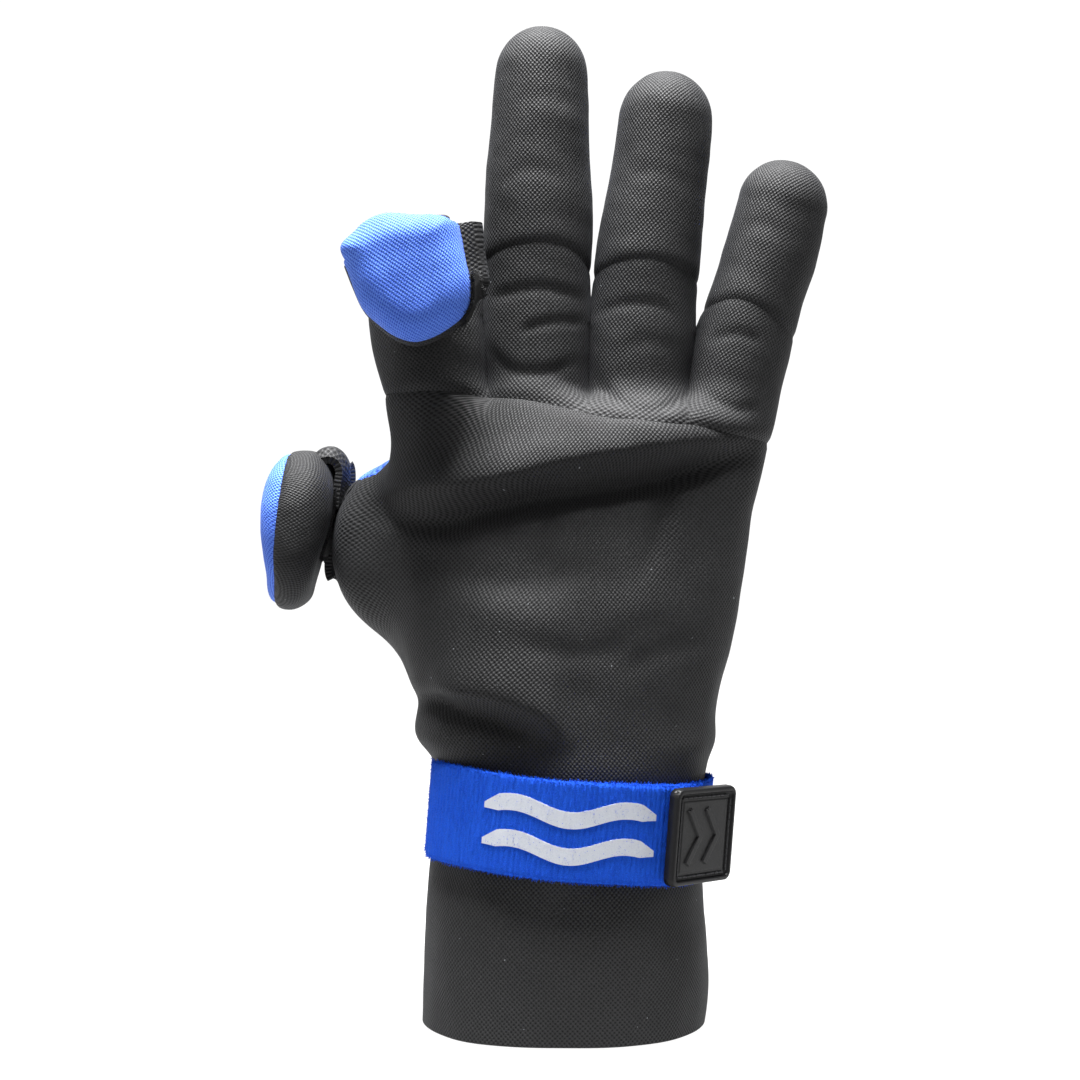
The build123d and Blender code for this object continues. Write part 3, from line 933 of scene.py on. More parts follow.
def build_finger(name):
    f = FINGERS[name]
    root, along = f["root"], f["along"]

    def reach(p):
        return finger_local(p, name)[2]

    def across(p, n):
        return line_gap(p[:, 0], p[:, 2], MIDDLE_SEAMS[name])[0]

    def across_back(p, n):
        return np.where(n[:, 1] < 0.5, across(p, n), FAR)

    top = root + along * (f["length"] + 4)
    low = (min(root[0], top[0]) - 20, -24, 146)
    high = (max(root[0], top[0]) + 20, 24, top[2] + 3)
    skin = clip(skin_of(one_finger_shape(name), low, high, 1.0, finger_sculpt(name)), knuckle_gap)
    seams = [(knuckle_back, 0.5), (back_gap, 0.5)]
    for other in FINGER_NAMES:
        if abs(FINGER_NAMES.index(other) - FINGER_NAMES.index(name)) == 1:
            gap = neighbour_gap(name, other)
            skin = clip(skin, lambda p, n: gap(p, n) + OVERLAP)
            seams.append((near_root(name, gap), 0.3))
    if name == "index":
        parts = {"stub": clip(skin, lambda p, n: f["length"] - reach(p))}
    else:
        upper = clip(skin, lambda p, n: reach(p) - HIDDEN_CUT)
        seams.append((across_back, 0.4))
        parts = {
            "base": clip(skin, lambda p, n: HIDDEN_CUT - reach(p)),
            "mid": clip(upper, lambda p, n: -across(p, n)),
            "tip": clip(upper, across),
        }
    for part, piece in parts.items():
        for half, sign in (("back", 1), ("palm", -1)):
            black = half == "back"
            cut = rolled(clip(piece, lambda p, n: sign * back_gap(p)), seams)
            obj = sheet_object(f"{name}_{part}_{half}_knit", cut, FINGER_FOAM, BLACK if black else BLUE,
                               finger_cloth(name, not black), LINING)
            if part in ("base", "stub"):
                start, end = ROOT_BLEND[name]
                world(root + along * start)
                world(root + along * end)
                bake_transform(obj)
                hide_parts(f"{name}_base_{half}")
                if black:
                    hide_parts("knuckle_panel")
            else:
                start, end = max(f["reach"] - 13.5, HIDDEN_CUT), f["reach"] + 13
                world(root + along * start)
                world(root + along * end)
                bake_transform(obj)
                if part == "tip":
                    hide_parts(f"{name}_tip_{half}")


def build_thumb_stub():
    def sculpt(p, n):
        u, v, s = thumb_local(p)
        crease = hump(s - 9.5 - 0.14 * u, 2.0) * step(-v, 0, 5)
        return 0.3 * ripple(p, 15, 40) - 1.2 * crease

    def seam(p, n):
        u, v, s = thumb_local(p)
        return 1.0 - 0.28 * u - 13.0 * step(u, 6, 15) * step(s, 0, 6) - v

    skin = skin_of(palm_shape, (-84, -8, 96), (-18, 52, 152), 1.0, sculpt)
    skin = clip(skin, lambda p, n: thumb_gap(p) + OVERLAP, lambda p, n: THUMB_SLIT - thumb_local(p)[2])
    root = THUMB_KNUCKLE + THUMB_ALONG * ((joint_point("thumb_bend") - THUMB_KNUCKLE) @ THUMB_ALONG)
    for half, sign in (("back", 1), ("palm", -1)):
        cut = rolled(clip(skin, lambda p, n: sign * seam(p, n)), [(seam, 0.45), (thumb_gap, 0.4)])
        obj = sheet_object(f"thumb_stub_{half}_knit", cut, FINGER_FOAM, BLACK if half == "back" else BLUE,
                           thumb_cloth(half == "palm"), LINING)
        world(root - THUMB_ALONG * 1)
        world(root + THUMB_ALONG * 13)
        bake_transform(obj)
        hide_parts(f"thumb_stub_{half}")


# ------------------------------------------------------------------ fold-back caps
def outline_gap(u, w, outline):
    """Signed distance from points (u, w) to a closed outline, negative inside."""
    ends = np.roll(outline, -1, axis=0)
    best, winding = np.full(len(u), 1e9), np.zeros(len(u), bool)
    for (u0, w0), (u1, w1) in zip(outline, ends):
        du, dw = u1 - u0, w1 - w0
        t = np.clip(((u - u0) * du + (w - w0) * dw) / (du * du + dw * dw), 0, 1)
        best = np.minimum(best, np.hypot(u - u0 - t * du, w - w0 - t * dw))
        crosses = (w0 > w) != (w1 > w)
        winding ^= crosses & (u < u0 + (w - w0) * du / np.where(dw == 0, 1e-9, dw))
    return np.where(winding, -best, best)


def smooth_outline(points, rounds=3):
    """Corner cutting, which turns a coarse outline into a smooth one."""
    points = np.array(points, float)
    for _ in range(rounds):
        ahead = np.roll(points, -1, axis=0)
        points = np.stack([0.75 * points + 0.25 * ahead, 0.25 * points + 0.75 * ahead], 1).reshape(-1, 2)
    return points


class Cap:
    """A cap in its folded-back place: its own frame is side, palm and along, from its mouth."""

    def __init__(self, name, outline, depth, side, palm, along, closed_offset, angle, wing=None):
        self.name, self.outline, self.depth, self.wing = name, smooth_outline(outline), depth, wing
        self.fold = joint_point(name + "_cap_fold")
        self.side, self.stub_along = side, along
        self.palm, self.along = turn(palm, side, angle), turn(along, side, angle)
        self.origin = self.fold + self.palm * closed_offset + self.along * 0.4

    def local(self, p):
        r = p - self.origin
        return r @ self.side, r @ self.palm, r @ self.along

    def out(self, u, v, w):
        return self.origin + np.outer(u, self.side) + np.outer(v, self.palm) + np.outer(w, self.along)

    def shape(self, p):
        u, v, w = self.local(p)
        thick = self.depth * (1 - 0.08 * np.clip(w / 33, 0, 1))
        if self.name == "thumb":
            thick = thick * (1 - 0.34 * step(-u, -4, 22)) * (1 - 0.10 * step(u, 6, 18))
        r = 0.93 * thick
        a, b = outline_gap(u, w, self.outline) + r, np.abs(v) - thick + r
        pillow = np.hypot(np.maximum(a, 0), np.maximum(b, 0)) + np.minimum(np.maximum(a, b), 0) - r
        if self.wing is not None:
            # the black back wall reaches out further on one side than the pad does
            (u0, w0, v0), half = self.wing
            q = np.abs(np.stack([u - u0, w - w0, v - v0], 1)) - np.array(half) + 4.2
            box = np.linalg.norm(np.maximum(q, 0), axis=1) + np.minimum(q.max(1), 0) - 4.2
            pillow = join(pillow, box, 2.5)
        return pillow

    def cloth(self, sign):
        """Flat-fabric coordinates of the pad (sign 1) or the back (sign -1), unrolled over the rim."""
        def flat(p, n):
            u, v, w = self.local(p)
            h = 0.5
            nu = outline_gap(u + h, w, self.outline) - outline_gap(u - h, w, self.outline)
            nw = outline_gap(u, w + h, self.outline) - outline_gap(u, w - h, self.outline)
            lean = np.arccos(np.clip(v * sign / (self.depth + 0.4), -1, 1))
            out = 8.6 * (lean - np.sin(lean)) / np.maximum(np.hypot(nu, nw), 0.2)
            return np.stack([u + nu * out, w + nw * out], 1)
        return flat


INDEX_OUTLINE = ((-2.5, -2.0), (-7, -2.2), (-11.0, -1.0), (-14.8, 1.4), (-17.9, 3.7), (-18.8, 6.2),
                 (-18.0, 9.8), (-16.4, 15.0), (-14.6, 20.8), (-12.4, 25.6), (-9.4, 29.2), (-5.8, 31.4),
                 (-1.8, 32.2), (2.6, 31.4), (7.2, 29.6), (10.8, 27.2), (13.0, 23.6), (13.8, 19), (13.3, 13.2),
                 (12.7, 8), (12.4, 1.6), (8, -0.4), (3, -0.9))
THUMB_OUTLINE = ((-23.0, 2), (-24.6, 8), (-24.4, 16), (-21.8, 24), (-16.0, 30), (-8, 32.8), (0, 33.4),
                 (6, 32.9), (12.6, 30), (17.6, 24), (19.6, 16), (19.6, 8), (18.6, 1), (10, -0.5),
                 (0, -0.5), (-12, -0.5))
INDEX_CAP = Cap("index", INDEX_OUTLINE, 9.0, FINGERS["index"]["side"], np.array((0.0, 1, 0)),
                FINGERS["index"]["along"], 10.2, math.radians(178), ((10.5, 10.5, -4.4), (7.8, 10.8, 4.4)))
THUMB_CAP = Cap("thumb", THUMB_OUTLINE, 9.4, THUMB_SIDE, THUMB_PALM, THUMB_ALONG, 10.4, math.radians(158))


def build_cap(cap, body, seam_level):
    def sculpt(p, n):
        u, v, w = cap.local(p)
        puff = 0.5 * hump(u, 12) * step(v, 2, 8) - 0.5 * hump(w - 1.5, 3.0) * step(v, 0, 6)
        return 0.32 * ripple(p, 16, 51) + 0.1 * ripple(p, 7, 52) + puff

    def mouth(p, n):
        """Open behind the pad's top edge, which curves over."""
        u, v, w = cap.local(p)
        return np.maximum(v - 4.5, w - 3.2 - 0.02 * np.minimum(u, 0) ** 2)

    def seam(p, n):
        return cap.local(p)[1] - seam_level(*cap.local(p))

    skin = clip(skin_of(cap.shape, *cap_bounds(cap), 0.8, sculpt), mouth)
    for half, sign, node in (("pad", 1, "cap_pad"), ("back", -1, "cap_back")):
        cut = rolled(clip(skin, lambda p, n: sign * seam(p, n)), [(seam, 0.55)])
        obj = sheet_object(f"{cap.name}_cap_{half}_knit", cut, CAP_FOAM, BLUE if half == "pad" else BLACK,
                           cap.cloth(sign), LINING)
        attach(obj, body)
        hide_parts(f"{cap.name}_{node}")


def build_hinge(cap, half_width, shift):
    """The cap's fabric hinge: the wall of the stub rolls over and becomes the cap's back wall."""
    side, palm, along = cap.side, np.cross(cap.stub_along, cap.side), cap.stub_along
    angles = np.linspace(math.radians(90), math.radians(-90), 28)
    a, t = np.meshgrid(angles, np.linspace(-1, 1, 70), indexing="ij")
    roll = (3.3 + 0.35 * np.sin(5 * t + 1.3) * np.cos(a)) * np.sqrt(1.0 - 0.8 * np.abs(t) ** 6)
    width = half_width * (1 - 0.05 * np.cos(a))
    centre = cap.fold + shift * side
    points = (centre + (t * width).reshape(-1, 1) * side + (roll * np.sin(a)).reshape(-1, 1) * palm
              + (roll * np.cos(a) * 0.5 + 0.1).reshape(-1, 1) * along)
    skin = facing(points, grid_quads(a), points - cap.fold)
    flat = np.stack([(t * width).ravel(), (-a * 3.3).ravel()], 1)
    obj = sheet_object(cap.name + "_cap_hinge", skin, HINGE_FOAM, BLACK, lambda p, n: flat)
    world(cap.fold + palm * 3.4)
    world(cap.fold - palm * 3.4)
    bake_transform(obj)
    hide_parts(cap.name + "_fold")


def build_gusset():
    """Loose fabric at the top of the thumb, rolled over between the stub and its folded cap."""
    _, fold_v, fold_s = np.ravel(thumb_local(THUMB_CAP.fold[None]))
    legs = 9.0
    arc = np.concatenate([np.linspace(-1, 0, 16)[:-1], np.linspace(0, 1, 40), np.linspace(1, 2, 16)[1:]])
    t, r = np.meshgrid(arc, np.linspace(0.0, 17.5, 40), indexing="ij")
    half = (1.5 + 0.20 * r + 0.4 * np.sin(r / 3.1 + 2 * t)) * (1 - 0.6 * step(r, 12.5, 17.6))
    angle = np.clip(t, 0, 1) * math.pi
    down = np.where(t < 0, t, 0) * legs + np.where(t > 1, 1 - t, 0) * legs
    across = half * np.cos(angle)
    up = 13.4 + 0.10 * r + half * 1.25 * np.sin(angle) + down - 1.5 * step(r, 14, 17.5)
    lean = math.radians(11)
    v = fold_v - 3.6 - 0.22 * r - r * math.sin(lean) + across * math.cos(lean)
    s = fold_s - r * math.cos(lean) - across * math.sin(lean)
    points = (THUMB_KNUCKLE + up.reshape(-1, 1) * THUMB_SIDE + v.reshape(-1, 1) * THUMB_PALM
              + s.reshape(-1, 1) * THUMB_ALONG)
    points += 0.35 * ripple(points, 9, 71)[:, None] * THUMB_SIDE
    data, triangles = facing(points, grid_quads(t), THUMB_SIDE)
    data[:, :3] += GUSSET_FOAM * data[:, 3:6]
    flat = np.stack([(t * 9).ravel(), r.ravel()], 1)
    obj = sheet_object("thumb_gusset_knit", (data, triangles), GUSSET_FOAM, BLACK, lambda p, n: flat)
    across_gap = THUMB_PALM * math.cos(lean) - THUMB_ALONG * math.sin(lean)
    world(THUMB_CAP.fold + 3.2 * across_gap)
    world(THUMB_CAP.fold - 3.2 * across_gap)
    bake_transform(obj)


def capsules(name, starts, ends, radius, material, sides=6, rings=3):
    """Many short round rods in one mesh, for stitches and loose fibres."""
    starts, ends = np.asarray(starts, float), np.asarray(ends, float)
    along = ends - starts
    length = np.linalg.norm(along, axis=1)[:, None]
    along = along / length
    helper = np.where(np.abs(along[:, 2:3]) < 0.9, [[0.0, 0, 1]], [[1.0, 0, 0]])
    e1 = np.cross(along, helper)
    e1 /= np.linalg.norm(e1, axis=1)[:, None]
    e2 = np.cross(along, e1)
    around = np.arange(sides) * 2 * math.pi / sides
    arcs = [k * math.pi / 2 / rings for k in range(1, rings + 1)]
    profile = [(math.sin(arc), 0.0, -math.cos(arc)) for arc in arcs]
    profile += [(r, 1.0, -c) for r, _, c in reversed(profile)]
    radius = np.broadcast_to(radius, (len(starts),))[:, None]
    points, faces = [], []
    for r, share, cap in profile:
        for angle in around:
            spoke = r * (math.cos(angle) * e1 + math.sin(angle) * e2)
            points.append(starts + share * along * length + radius * (cap * along + spoke))
    count = len(profile) * sides
    points = np.stack(points, 1)
    ends_low, ends_high = starts - radius * along, ends + radius * along
    points = np.concatenate([points, ends_low[:, None], ends_high[:, None]], 1)
    for ring in range(len(profile) - 1):
        for k in range(sides):
            a, b = ring * sides + k, ring * sides + (k + 1) % sides
            faces.append((a, b, b + sides, a + sides))
    for k in range(sides):
        b = (k + 1) % sides
        faces.append((b, k, count, count))
        faces.append((count - sides + k, count - sides + b, count + 1, count + 1))
    faces = np.array(faces)
    everything = (faces[None] + (np.arange(len(starts)) * (count + 2))[:, None, None]).reshape(-1, 4)
    face_list = [face[:3] if face[2] == face[3] else face for face in everything.tolist()]
    return mesh_object(name, points.reshape(-1, 3), face_list, material)


def fibres(name, roots, directions, length, radius, material, spread=0.5, seed=1):
    dice = np.random.default_rng(seed)
    directions = directions + spread * dice.normal(size=directions.shape)
    directions /= np.linalg.norm(directions, axis=1)[:, None]
    reach = length * dice.uniform(0.35, 1.0, len(roots))[:, None]
    return capsules(name, roots, roots + directions * reach, radius, material, 4, 1)


def build_hook_patch(cap, body, window):
    """Hook tape on the cap's back, conforming to it, with a frayed cut edge."""
    u0, u1, w0, w1 = window
    skin = skin_of(lambda p: cap.shape(p) - 0.95, *cap_bounds(cap), 0.8,
                   lambda p, n: 0.1 * ripple(p, 2.2, 60))
    skin = clip(skin, lambda p, n: cap.local(p)[0] - u0, lambda p, n: u1 - cap.local(p)[0],
                lambda p, n: cap.local(p)[2] - w0, lambda p, n: w1 - cap.local(p)[2],
                lambda p, n: 3.0 - cap.local(p)[1])
    obj = sheet_object(cap.name + "_hook_tape", skin, HOOK_SHEET, HOOK, cap.cloth(-1))
    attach(obj, body)
    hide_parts(cap.name + "_hook_patch")
    rims = rim_edges(skin[1])
    roots, normals = np.hsplit(skin[0][np.repeat(rims[:, 0], 4), :6], 2)
    outward = np.cross(skin[0][np.repeat(rims[:, 1], 4), :3] - roots, normals)
    outward /= np.maximum(np.linalg.norm(outward, axis=1), 1e-6)[:, None]
    dice = np.random.default_rng(61)
    roots = roots - normals * dice.uniform(0.1, 0.8, len(roots))[:, None]
    hair = fibres(cap.name + "_hook_fray", roots, outward, 1.7, 0.07, HOOK, 0.45, 62)
    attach(hair, body)


def cap_bounds(cap):
    across = np.array([-1, 1, -1, 1, -1, 1, -1, 1]) * 26.0
    through = np.array([-1, -1, 1, 1, -1, -1, 1, 1]) * 12.5
    corners = cap.out(across, through, np.repeat([-5.0, 36.0], 4))
    return corners.min(0) - 1, corners.max(0) + 1


def build_loop_patch(finger, body, shape, box, sculpt, local, window, cloth):
    """Loop tape on the back of a cut finger, which faces the cap's hook tape when the cap is folded back."""
    half_width, start, end = window
    skin = skin_of(lambda p: shape(p) - 1.0, *box, 0.8, sculpt)
    skin = clip(skin, lambda p, n: half_width - np.abs(local(p)[0]), lambda p, n: local(p)[2] - start,
                lambda p, n: end - local(p)[2], lambda p, n: -local(p)[1])
    obj = sheet_object(finger + "_loop_tape", skin, LOOP_SHEET, LOOP, cloth)
    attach(obj, body)
    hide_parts(finger + "_loop_patch")


# ------------------------------------------------------------------ strap and pull tab
STRAP_UP = -np.array(joints["strap_opening"]["axis"])
STRAP_ACROSS = np.cross((0, 1.0, 0), STRAP_UP)
STRAP_CENTRE = (np.array(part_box("strap_band")[0]) + np.array(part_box("strap_band")[1])) / 2 / MM
STRAP_WIDTH = 25.0
STRAP_THICK = 1.5
BAND_RADII, BAND_ARC = (35.6, 27.6), (268.0, 556.0)
FREE_RADII, FREE_ARC, FREE_SHIFT = (37.6, 29.6), (199.0, 326.0), 0.5


def strap_point(x, y, z):
    return STRAP_CENTRE + np.outer(x, STRAP_ACROSS) + np.outer(y, (0, 1.0, 0)) + np.outer(z, STRAP_UP)


def webbing(name, radii, arc, shift, seed):
    """A ribbed band round an ellipse, its outer face ribbed across, as a closed sheet."""
    fine = np.radians(np.linspace(arc[0], arc[1], 4000))
    rx, ry = radii[0] + STRAP_THICK, radii[1] + STRAP_THICK
    pieces = np.hypot(np.diff(rx * np.cos(fine)), np.diff(ry * np.sin(fine)))
    lengths = np.concatenate([[0], np.cumsum(pieces)])
    count = int(lengths[-1] / 0.2)
    place = np.linspace(0, lengths[-1], count)
    angle = np.interp(place, lengths, fine)
    rows = np.linspace(-1, 1, 42)
    s, t = np.meshgrid(place, rows, indexing="ij")
    a = np.repeat(angle[:, None], len(rows), 1)
    nx, ny = np.cos(a) / rx, np.sin(a) / ry
    size = np.hypot(nx, ny)
    nx, ny = nx / size, ny / size
    dice = np.random.default_rng(seed)
    grain = dice.normal(size=s.shape)
    rib = np.abs(np.sin(math.pi * (s + 0.05 * grain) / 1.4)) ** 0.7
    lift = 0.20 * rib + 0.035 * grain - 0.55 * step(np.abs(t), 0.9, 1.02) ** 2
    edge = np.where(np.abs(t) > 0.99, 0.16 * grain, 0.0)
    wave = 0.35 * np.sin(s / 13.0 + seed) + 0.25 * np.sin(s / 7.1)
    x = shift + rx * np.cos(a) + lift * nx
    y = ry * np.sin(a) + lift * ny
    z = t * STRAP_WIDTH / 2 + edge + wave * np.abs(t) * 0.6
    points = strap_point(x.ravel(), y.ravel(), z.ravel())
    triangles = split_quads(grid_quads(s))
    skin = (np.hstack([points, vertex_normals(points, triangles)]), triangles)
    flat = np.stack([s.ravel(), (t * STRAP_WIDTH / 2).ravel()], 1)
    obj = sheet_object(name, skin, STRAP_SHEET, WEBBING, lambda p, n: flat)
    # loose fibres, denser at the band's two edges
    at_edge = (np.abs(t) > 0.93).ravel()
    odds = 1 + 5 * at_edge
    pick = dice.choice(s.size, 5200, p=odds / odds.sum())
    up = np.sign(t).ravel()[pick] * at_edge[pick] * 1.5
    direction = (np.outer(nx.ravel()[pick], STRAP_ACROSS) + np.outer(ny.ravel()[pick], (0, 1.0, 0))
                 + np.outer(up, STRAP_UP))
    hair = fibres(name + "_fuzz", points[pick], direction, 0.62, 0.045, WEBBING, 0.9, seed + 5)
    return obj, hair


def outer_strap_y(x, extra):
    rx, ry = FREE_RADII[0] + STRAP_THICK, FREE_RADII[1] + STRAP_THICK
    return -ry * np.sqrt(np.clip(1 - ((x - FREE_SHIFT) / rx) ** 2, 0, 1)) - extra


def build_strap():
    band, hair = webbing("strap_band_webbing", BAND_RADII, BAND_ARC, 0.0, 11)
    for obj in (band, hair):
        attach(obj, "hand")
    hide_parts("strap_band")
    free, hair = webbing("strap_end_webbing", FREE_RADII, FREE_ARC, FREE_SHIFT, 12)
    a0, a1 = math.radians(FREE_ARC[0]), math.radians(FREE_ARC[0] + 26)
    start, end = (strap_point([38.3 * math.cos(a)], [30.3 * math.sin(a)], [0.0])[0] for a in (a0, a1))
    for obj in (free, hair):
        world(start)
        world(end)
        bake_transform(obj)
    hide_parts("strap_free_end")

    # two printed waves
    left, length = -22, 43
    points, quads, count = [], [], 0
    for middle in (4.5, -4.5):
        x, h = np.meshgrid(left + length * np.linspace(0, 1, 190), np.linspace(-1, 1, 13), indexing="ij")
        taper = np.minimum(1, 0.35 + 8 * np.minimum((x - left) / length, (left + length - x) / length))
        z = middle + 1.6 * np.sin(3 * math.pi * (x - left) / length) + h * 2.1 * taper
        y = outer_strap_y(x, 0.38 + 0.05 * rng.random(x.shape))
        points.append(strap_point(x.ravel(), y.ravel(), z.ravel()))
        quads.append(grid_quads(x, count))
        count += x.size
    skin = facing(np.concatenate(points), np.concatenate(quads), (0, -1, 0))
    ink = sheet_object("strap_print_waves", skin, INK_SHEET, INK, lambda p, n: p[:, [0, 2]])
    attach(ink, "strap_end")
    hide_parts("strap_print")


def build_tab():
    """Moulded rubber pull tab: raised rim, stitched field and two raised chevrons."""
    size, thick = 24.5, 2.4
    hinge = joint_point("tab_lift")
    angle = math.radians(36.6)
    rx, ry = FREE_RADII[0] + STRAP_THICK, FREE_RADII[1] + STRAP_THICK
    normal = unit((math.cos(angle) / rx, -math.sin(angle) / ry))
    out = normal[0] * STRAP_ACROSS + normal[1] * np.array((0, 1.0, 0))
    along = -normal[1] * STRAP_ACROSS + normal[0] * np.array((0, 1.0, 0))
    origin = hinge + along * (size / 2 - 1)
    line = np.linspace(-size / 2 - 0.3, size / 2 + 0.3, 190)
    a, b = np.meshgrid(line, line, indexing="ij")

    def rounded(a, b):
        """Signed distance to the plate's outline, a square with round corners."""
        corner = 2.5
        qa, qb = np.abs(a) - size / 2 + corner, np.abs(b) - size / 2 + corner
        return np.hypot(np.maximum(qa, 0), np.maximum(qb, 0)) + np.minimum(np.maximum(qa, qb), 0) - corner

    def height(a, b):
        edge = -rounded(a, b)
        h = thick - 0.8 * (1 - np.sqrt(np.clip(1 - (1 - np.clip(edge / 0.9, 0, 1)) ** 2, 0, 1)))
        h += 0.45 * (1 - step(edge, 1.15, 1.6)) - 0.25 * step(edge, 1.15, 1.6)
        h -= 0.18 * hump(edge - 2.2, 0.35)
        h += 0.16 * step(edge, 3.1, 3.5)
        for x0 in (-4.0, 3.0):
            for sign in (1, -1):
                ca, sa = math.cos(math.radians(-sign * 55)), math.sin(math.radians(-sign * 55))
                p, q = a - x0, b - sign * 3.2
                bar_a, bar_b = p * ca + q * sa, -p * sa + q * ca
                bar = np.maximum(np.abs(bar_a) - 4.6, np.abs(bar_b) - 1.0)
                h = np.maximum(h, (thick + 0.42) * step(-bar, -0.15, 0.22))
        return h

    def place(q):
        return origin + np.outer(q[:, 0], along) + np.outer(q[:, 1], STRAP_UP) + np.outer(q[:, 2], out)

    top = np.stack([a.ravel(), b.ravel(), height(a, b).ravel()], 1)
    top = np.hstack([top, np.tile([0.0, 0, 1], (len(top), 1))])
    data, faces = clip((top, split_quads(grid_quads(a))), lambda p, n: -rounded(p[:, 0], p[:, 1]))
    local = data[:, :3]
    local[:, 2] = np.where(rounded(local[:, 0], local[:, 1]) > -0.15, thick - 0.55, local[:, 2])
    points = place(local)
    floor_points = place(local * (1, 1, 0) + (0, 0, 0.05))
    if np.dot(np.cross(along, STRAP_UP), out) < 0:
        faces = faces[:, ::-1]
    plate = mesh_object("pull_tab_rubber", np.vstack([points, floor_points]), closed(faces, len(points)),
                        RUBBER)
    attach(plate, "tab")
    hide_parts("pull_tab", "tab_emblem")

    starts, ends = [], []
    half = size / 2 - 2.3
    for side in range(4):
        for k in range(10):
            t0 = -half + 0.55 + k * (2 * half - 1.1) / 10
            t1 = t0 + (2 * half - 1.1) / 10 - 0.55
            start, end = (((t0, half), (t1, half)), ((t0, -half), (t1, -half)), ((half, t0), (half, t1)),
                          ((-half, t0), (-half, t1)))[side]
            starts.append((*start, thick))
            ends.append((*end, thick))
    thread = capsules("tab_stitches", place(np.array(starts)), place(np.array(ends)), 0.24, THREAD)
    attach(thread, "tab")
    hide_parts("tab_stitching")


def build_tack():
    """The stitched rectangle that tacks the strap to the cuff on the palm side."""
    starts, ends = [], []
    rx, ry = BAND_RADII[0] + STRAP_THICK + 0.2, BAND_RADII[1] + STRAP_THICK + 0.2

    def at(x, z):
        return strap_point([x], [ry * math.sqrt(1 - (x / rx) ** 2)], [z])[0]

    for k in range(8):
        t0, t1 = -9 + k * 2.25 + 0.3, -9 + (k + 1) * 2.25 - 0.3
        for level in (-9.2, 9.2):
            starts.append(at(t0, level))
            ends.append(at(t1, level))
            starts.append(at(np.sign(level) * 8.8, t0))
            ends.append(at(np.sign(level) * 8.8, t1))
    thread = capsules("strap_tack_thread", starts, ends, 0.25, THREAD)
    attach(thread, "hand")
    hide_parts("strap_tack_stitching")


# ------------------------------------------------------------------ everything
build_hand()
for finger_name in FINGER_NAMES:
    build_finger(finger_name)
build_thumb_stub()
build_cap(INDEX_CAP, "index_cap", lambda u, v, w: 1.2 + 0.8 * step(w, 24, 32))
build_cap(THUMB_CAP, "thumb_cap", lambda u, v, w: 4.6 - 0.8 * step(-u, 8, 18))
build_hinge(INDEX_CAP, 8.6, 1.8)
build_hinge(THUMB_CAP, 17.3, 1.2)
build_gusset()
build_hook_patch(INDEX_CAP, "index_cap", (-8.0, 15.5, 17.0, 28.0))
build_hook_patch(THUMB_CAP, "thumb_cap", (-9.0, 9.0, 5.0, 21.0))
build_loop_patch("index", "index_base", one_finger_shape("index"), ((-62, -18, 182), (-22, 2, 206)),
                 lambda p, n: 0.22 * ripple(p, 2.0, 63) + finger_sculpt("index")(p, n),
                 lambda p: finger_local(p, "index"), (8, 14, 30), finger_cloth("index"))
build_loop_patch("thumb", "thumb_stub", palm_shape, ((-84, 10, 100), (-30, 52, 150)),
                 lambda p, n: 0.22 * ripple(p, 2.0, 64), thumb_local, (8.5, 12.5, 19.5), thumb_cloth(False))
build_strap()
build_tab()
build_tack()
frame["nodes"]["tab_hook_pad"].data.materials.clear()
frame["nodes"]["tab_hook_pad"].data.materials.append(HOOK)


# ------------------------------------------------------------------ camera, floor and light
def light(name, place, size, power):
    """A round lamp aimed at the middle of the glove."""
    data = bpy.data.lights.new(name, "AREA")
    data.shape = "DISK"
    data.size = size
    data.energy = power
    obj = bpy.data.objects.new(name, data)
    obj.location = place
    obj.rotation_euler = (Vector((0, 0, 0.13)) - Vector(place)).to_track_quat("-Z", "Y").to_euler()
    bpy.context.scene.collection.objects.link(obj)


camera = bpy.data.objects.new("camera", bpy.data.cameras.new("camera"))
camera.location = (-0.0069, -0.460, 0.1267)
camera.rotation_euler = (math.pi / 2, 0, 0)
camera.data.lens = 57.9
camera.data.sensor_width = 36
camera.data.clip_start = 0.01
bpy.context.scene.collection.objects.link(camera)
bpy.context.scene.camera = camera

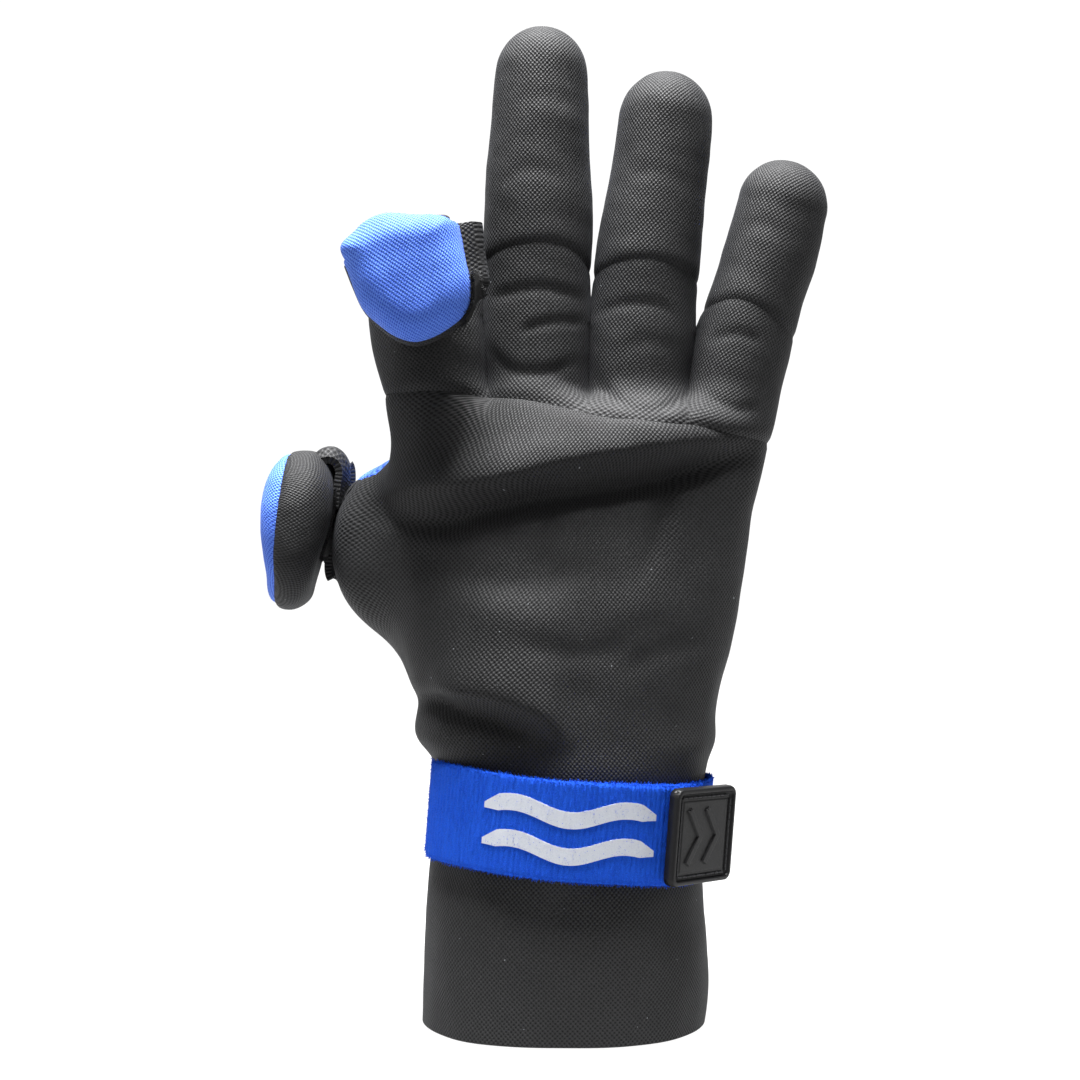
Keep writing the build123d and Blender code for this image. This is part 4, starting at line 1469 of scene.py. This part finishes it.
light("overhead", (-0.04, -0.09, 1.05), 0.42, 50.0)
light("front", (-0.15, -1.30, 0.75), 0.5, 0.25)
light("left", (-0.85, -0.30, 0.42), 0.4, 0.35)
light("right", (0.85, -0.20, 0.50), 0.4, 0.25)

bpy.ops.mesh.primitive_circle_add(vertices=96, radius=4.0, fill_type="NGON", location=(0, 0, -0.0004))
floor = bpy.context.object
floor.name = "floor"
floor_look = Nodes("floor")
floor_look.set(color=(0.12, 0.12, 0.12, 1), roughness=0.9, specular=0.0)
floor_place = floor_look.place()
_, floor_depth, _ = floor_look.parts(floor_place)
near_glow = floor_look.ramp(floor_depth, -0.12, -0.05, 0.0, 1.0)
far_glow = floor_look.ramp(floor_look.length(floor_place), 0.20, 0.90, 0.0, 0.5)
floor_look.shader.inputs["Emission Color"].default_value = (1, 1, 1, 1)
floor_look.put(floor_look.shader.inputs["Emission Strength"], floor_look.math("MAXIMUM", near_glow, far_glow))
floor.data.materials.append(floor_look.material)

world_look = bpy.data.worlds.new("studio")
world_look.use_nodes = True
sky = world_look.node_tree
sky.nodes["Background"].inputs[0].default_value = (1, 1, 1, 1)
direction = sky.nodes.new("ShaderNodeSeparateXYZ")
sky.links.new(sky.nodes.new("ShaderNodeTexCoord").outputs["Generated"], direction.inputs[0])


def sky_share(socket, low, high, a, b):
    node = sky.nodes.new("ShaderNodeMapRange")
    node.interpolation_type = "SMOOTHSTEP"
    for place, number in zip(node.inputs[1:5], (low, high, a, b)):
        place.default_value = number
    sky.links.new(socket, node.inputs[0])
    return node.outputs[0]


def brighter(a, b):
    node = sky.nodes.new("ShaderNodeMath")
    node.operation = "MAXIMUM"
    sky.links.new(a, node.inputs[0])
    sky.links.new(b, node.inputs[1])
    return node.outputs[0]


glow = brighter(sky_share(direction.outputs["Y"], 0.66, 0.88, 0.0, 1.06),
                sky_share(direction.outputs["Z"], -0.1, 0.95, 0.01, 0.12))
glow = brighter(glow, sky_share(direction.outputs["Z"], 0.25, 0.50, 0.38, 0.0))
sky.links.new(glow, sky.nodes["Background"].inputs[1])
bpy.context.scene.world = world_look
bpy.context.scene.view_settings.view_transform = "Standard"
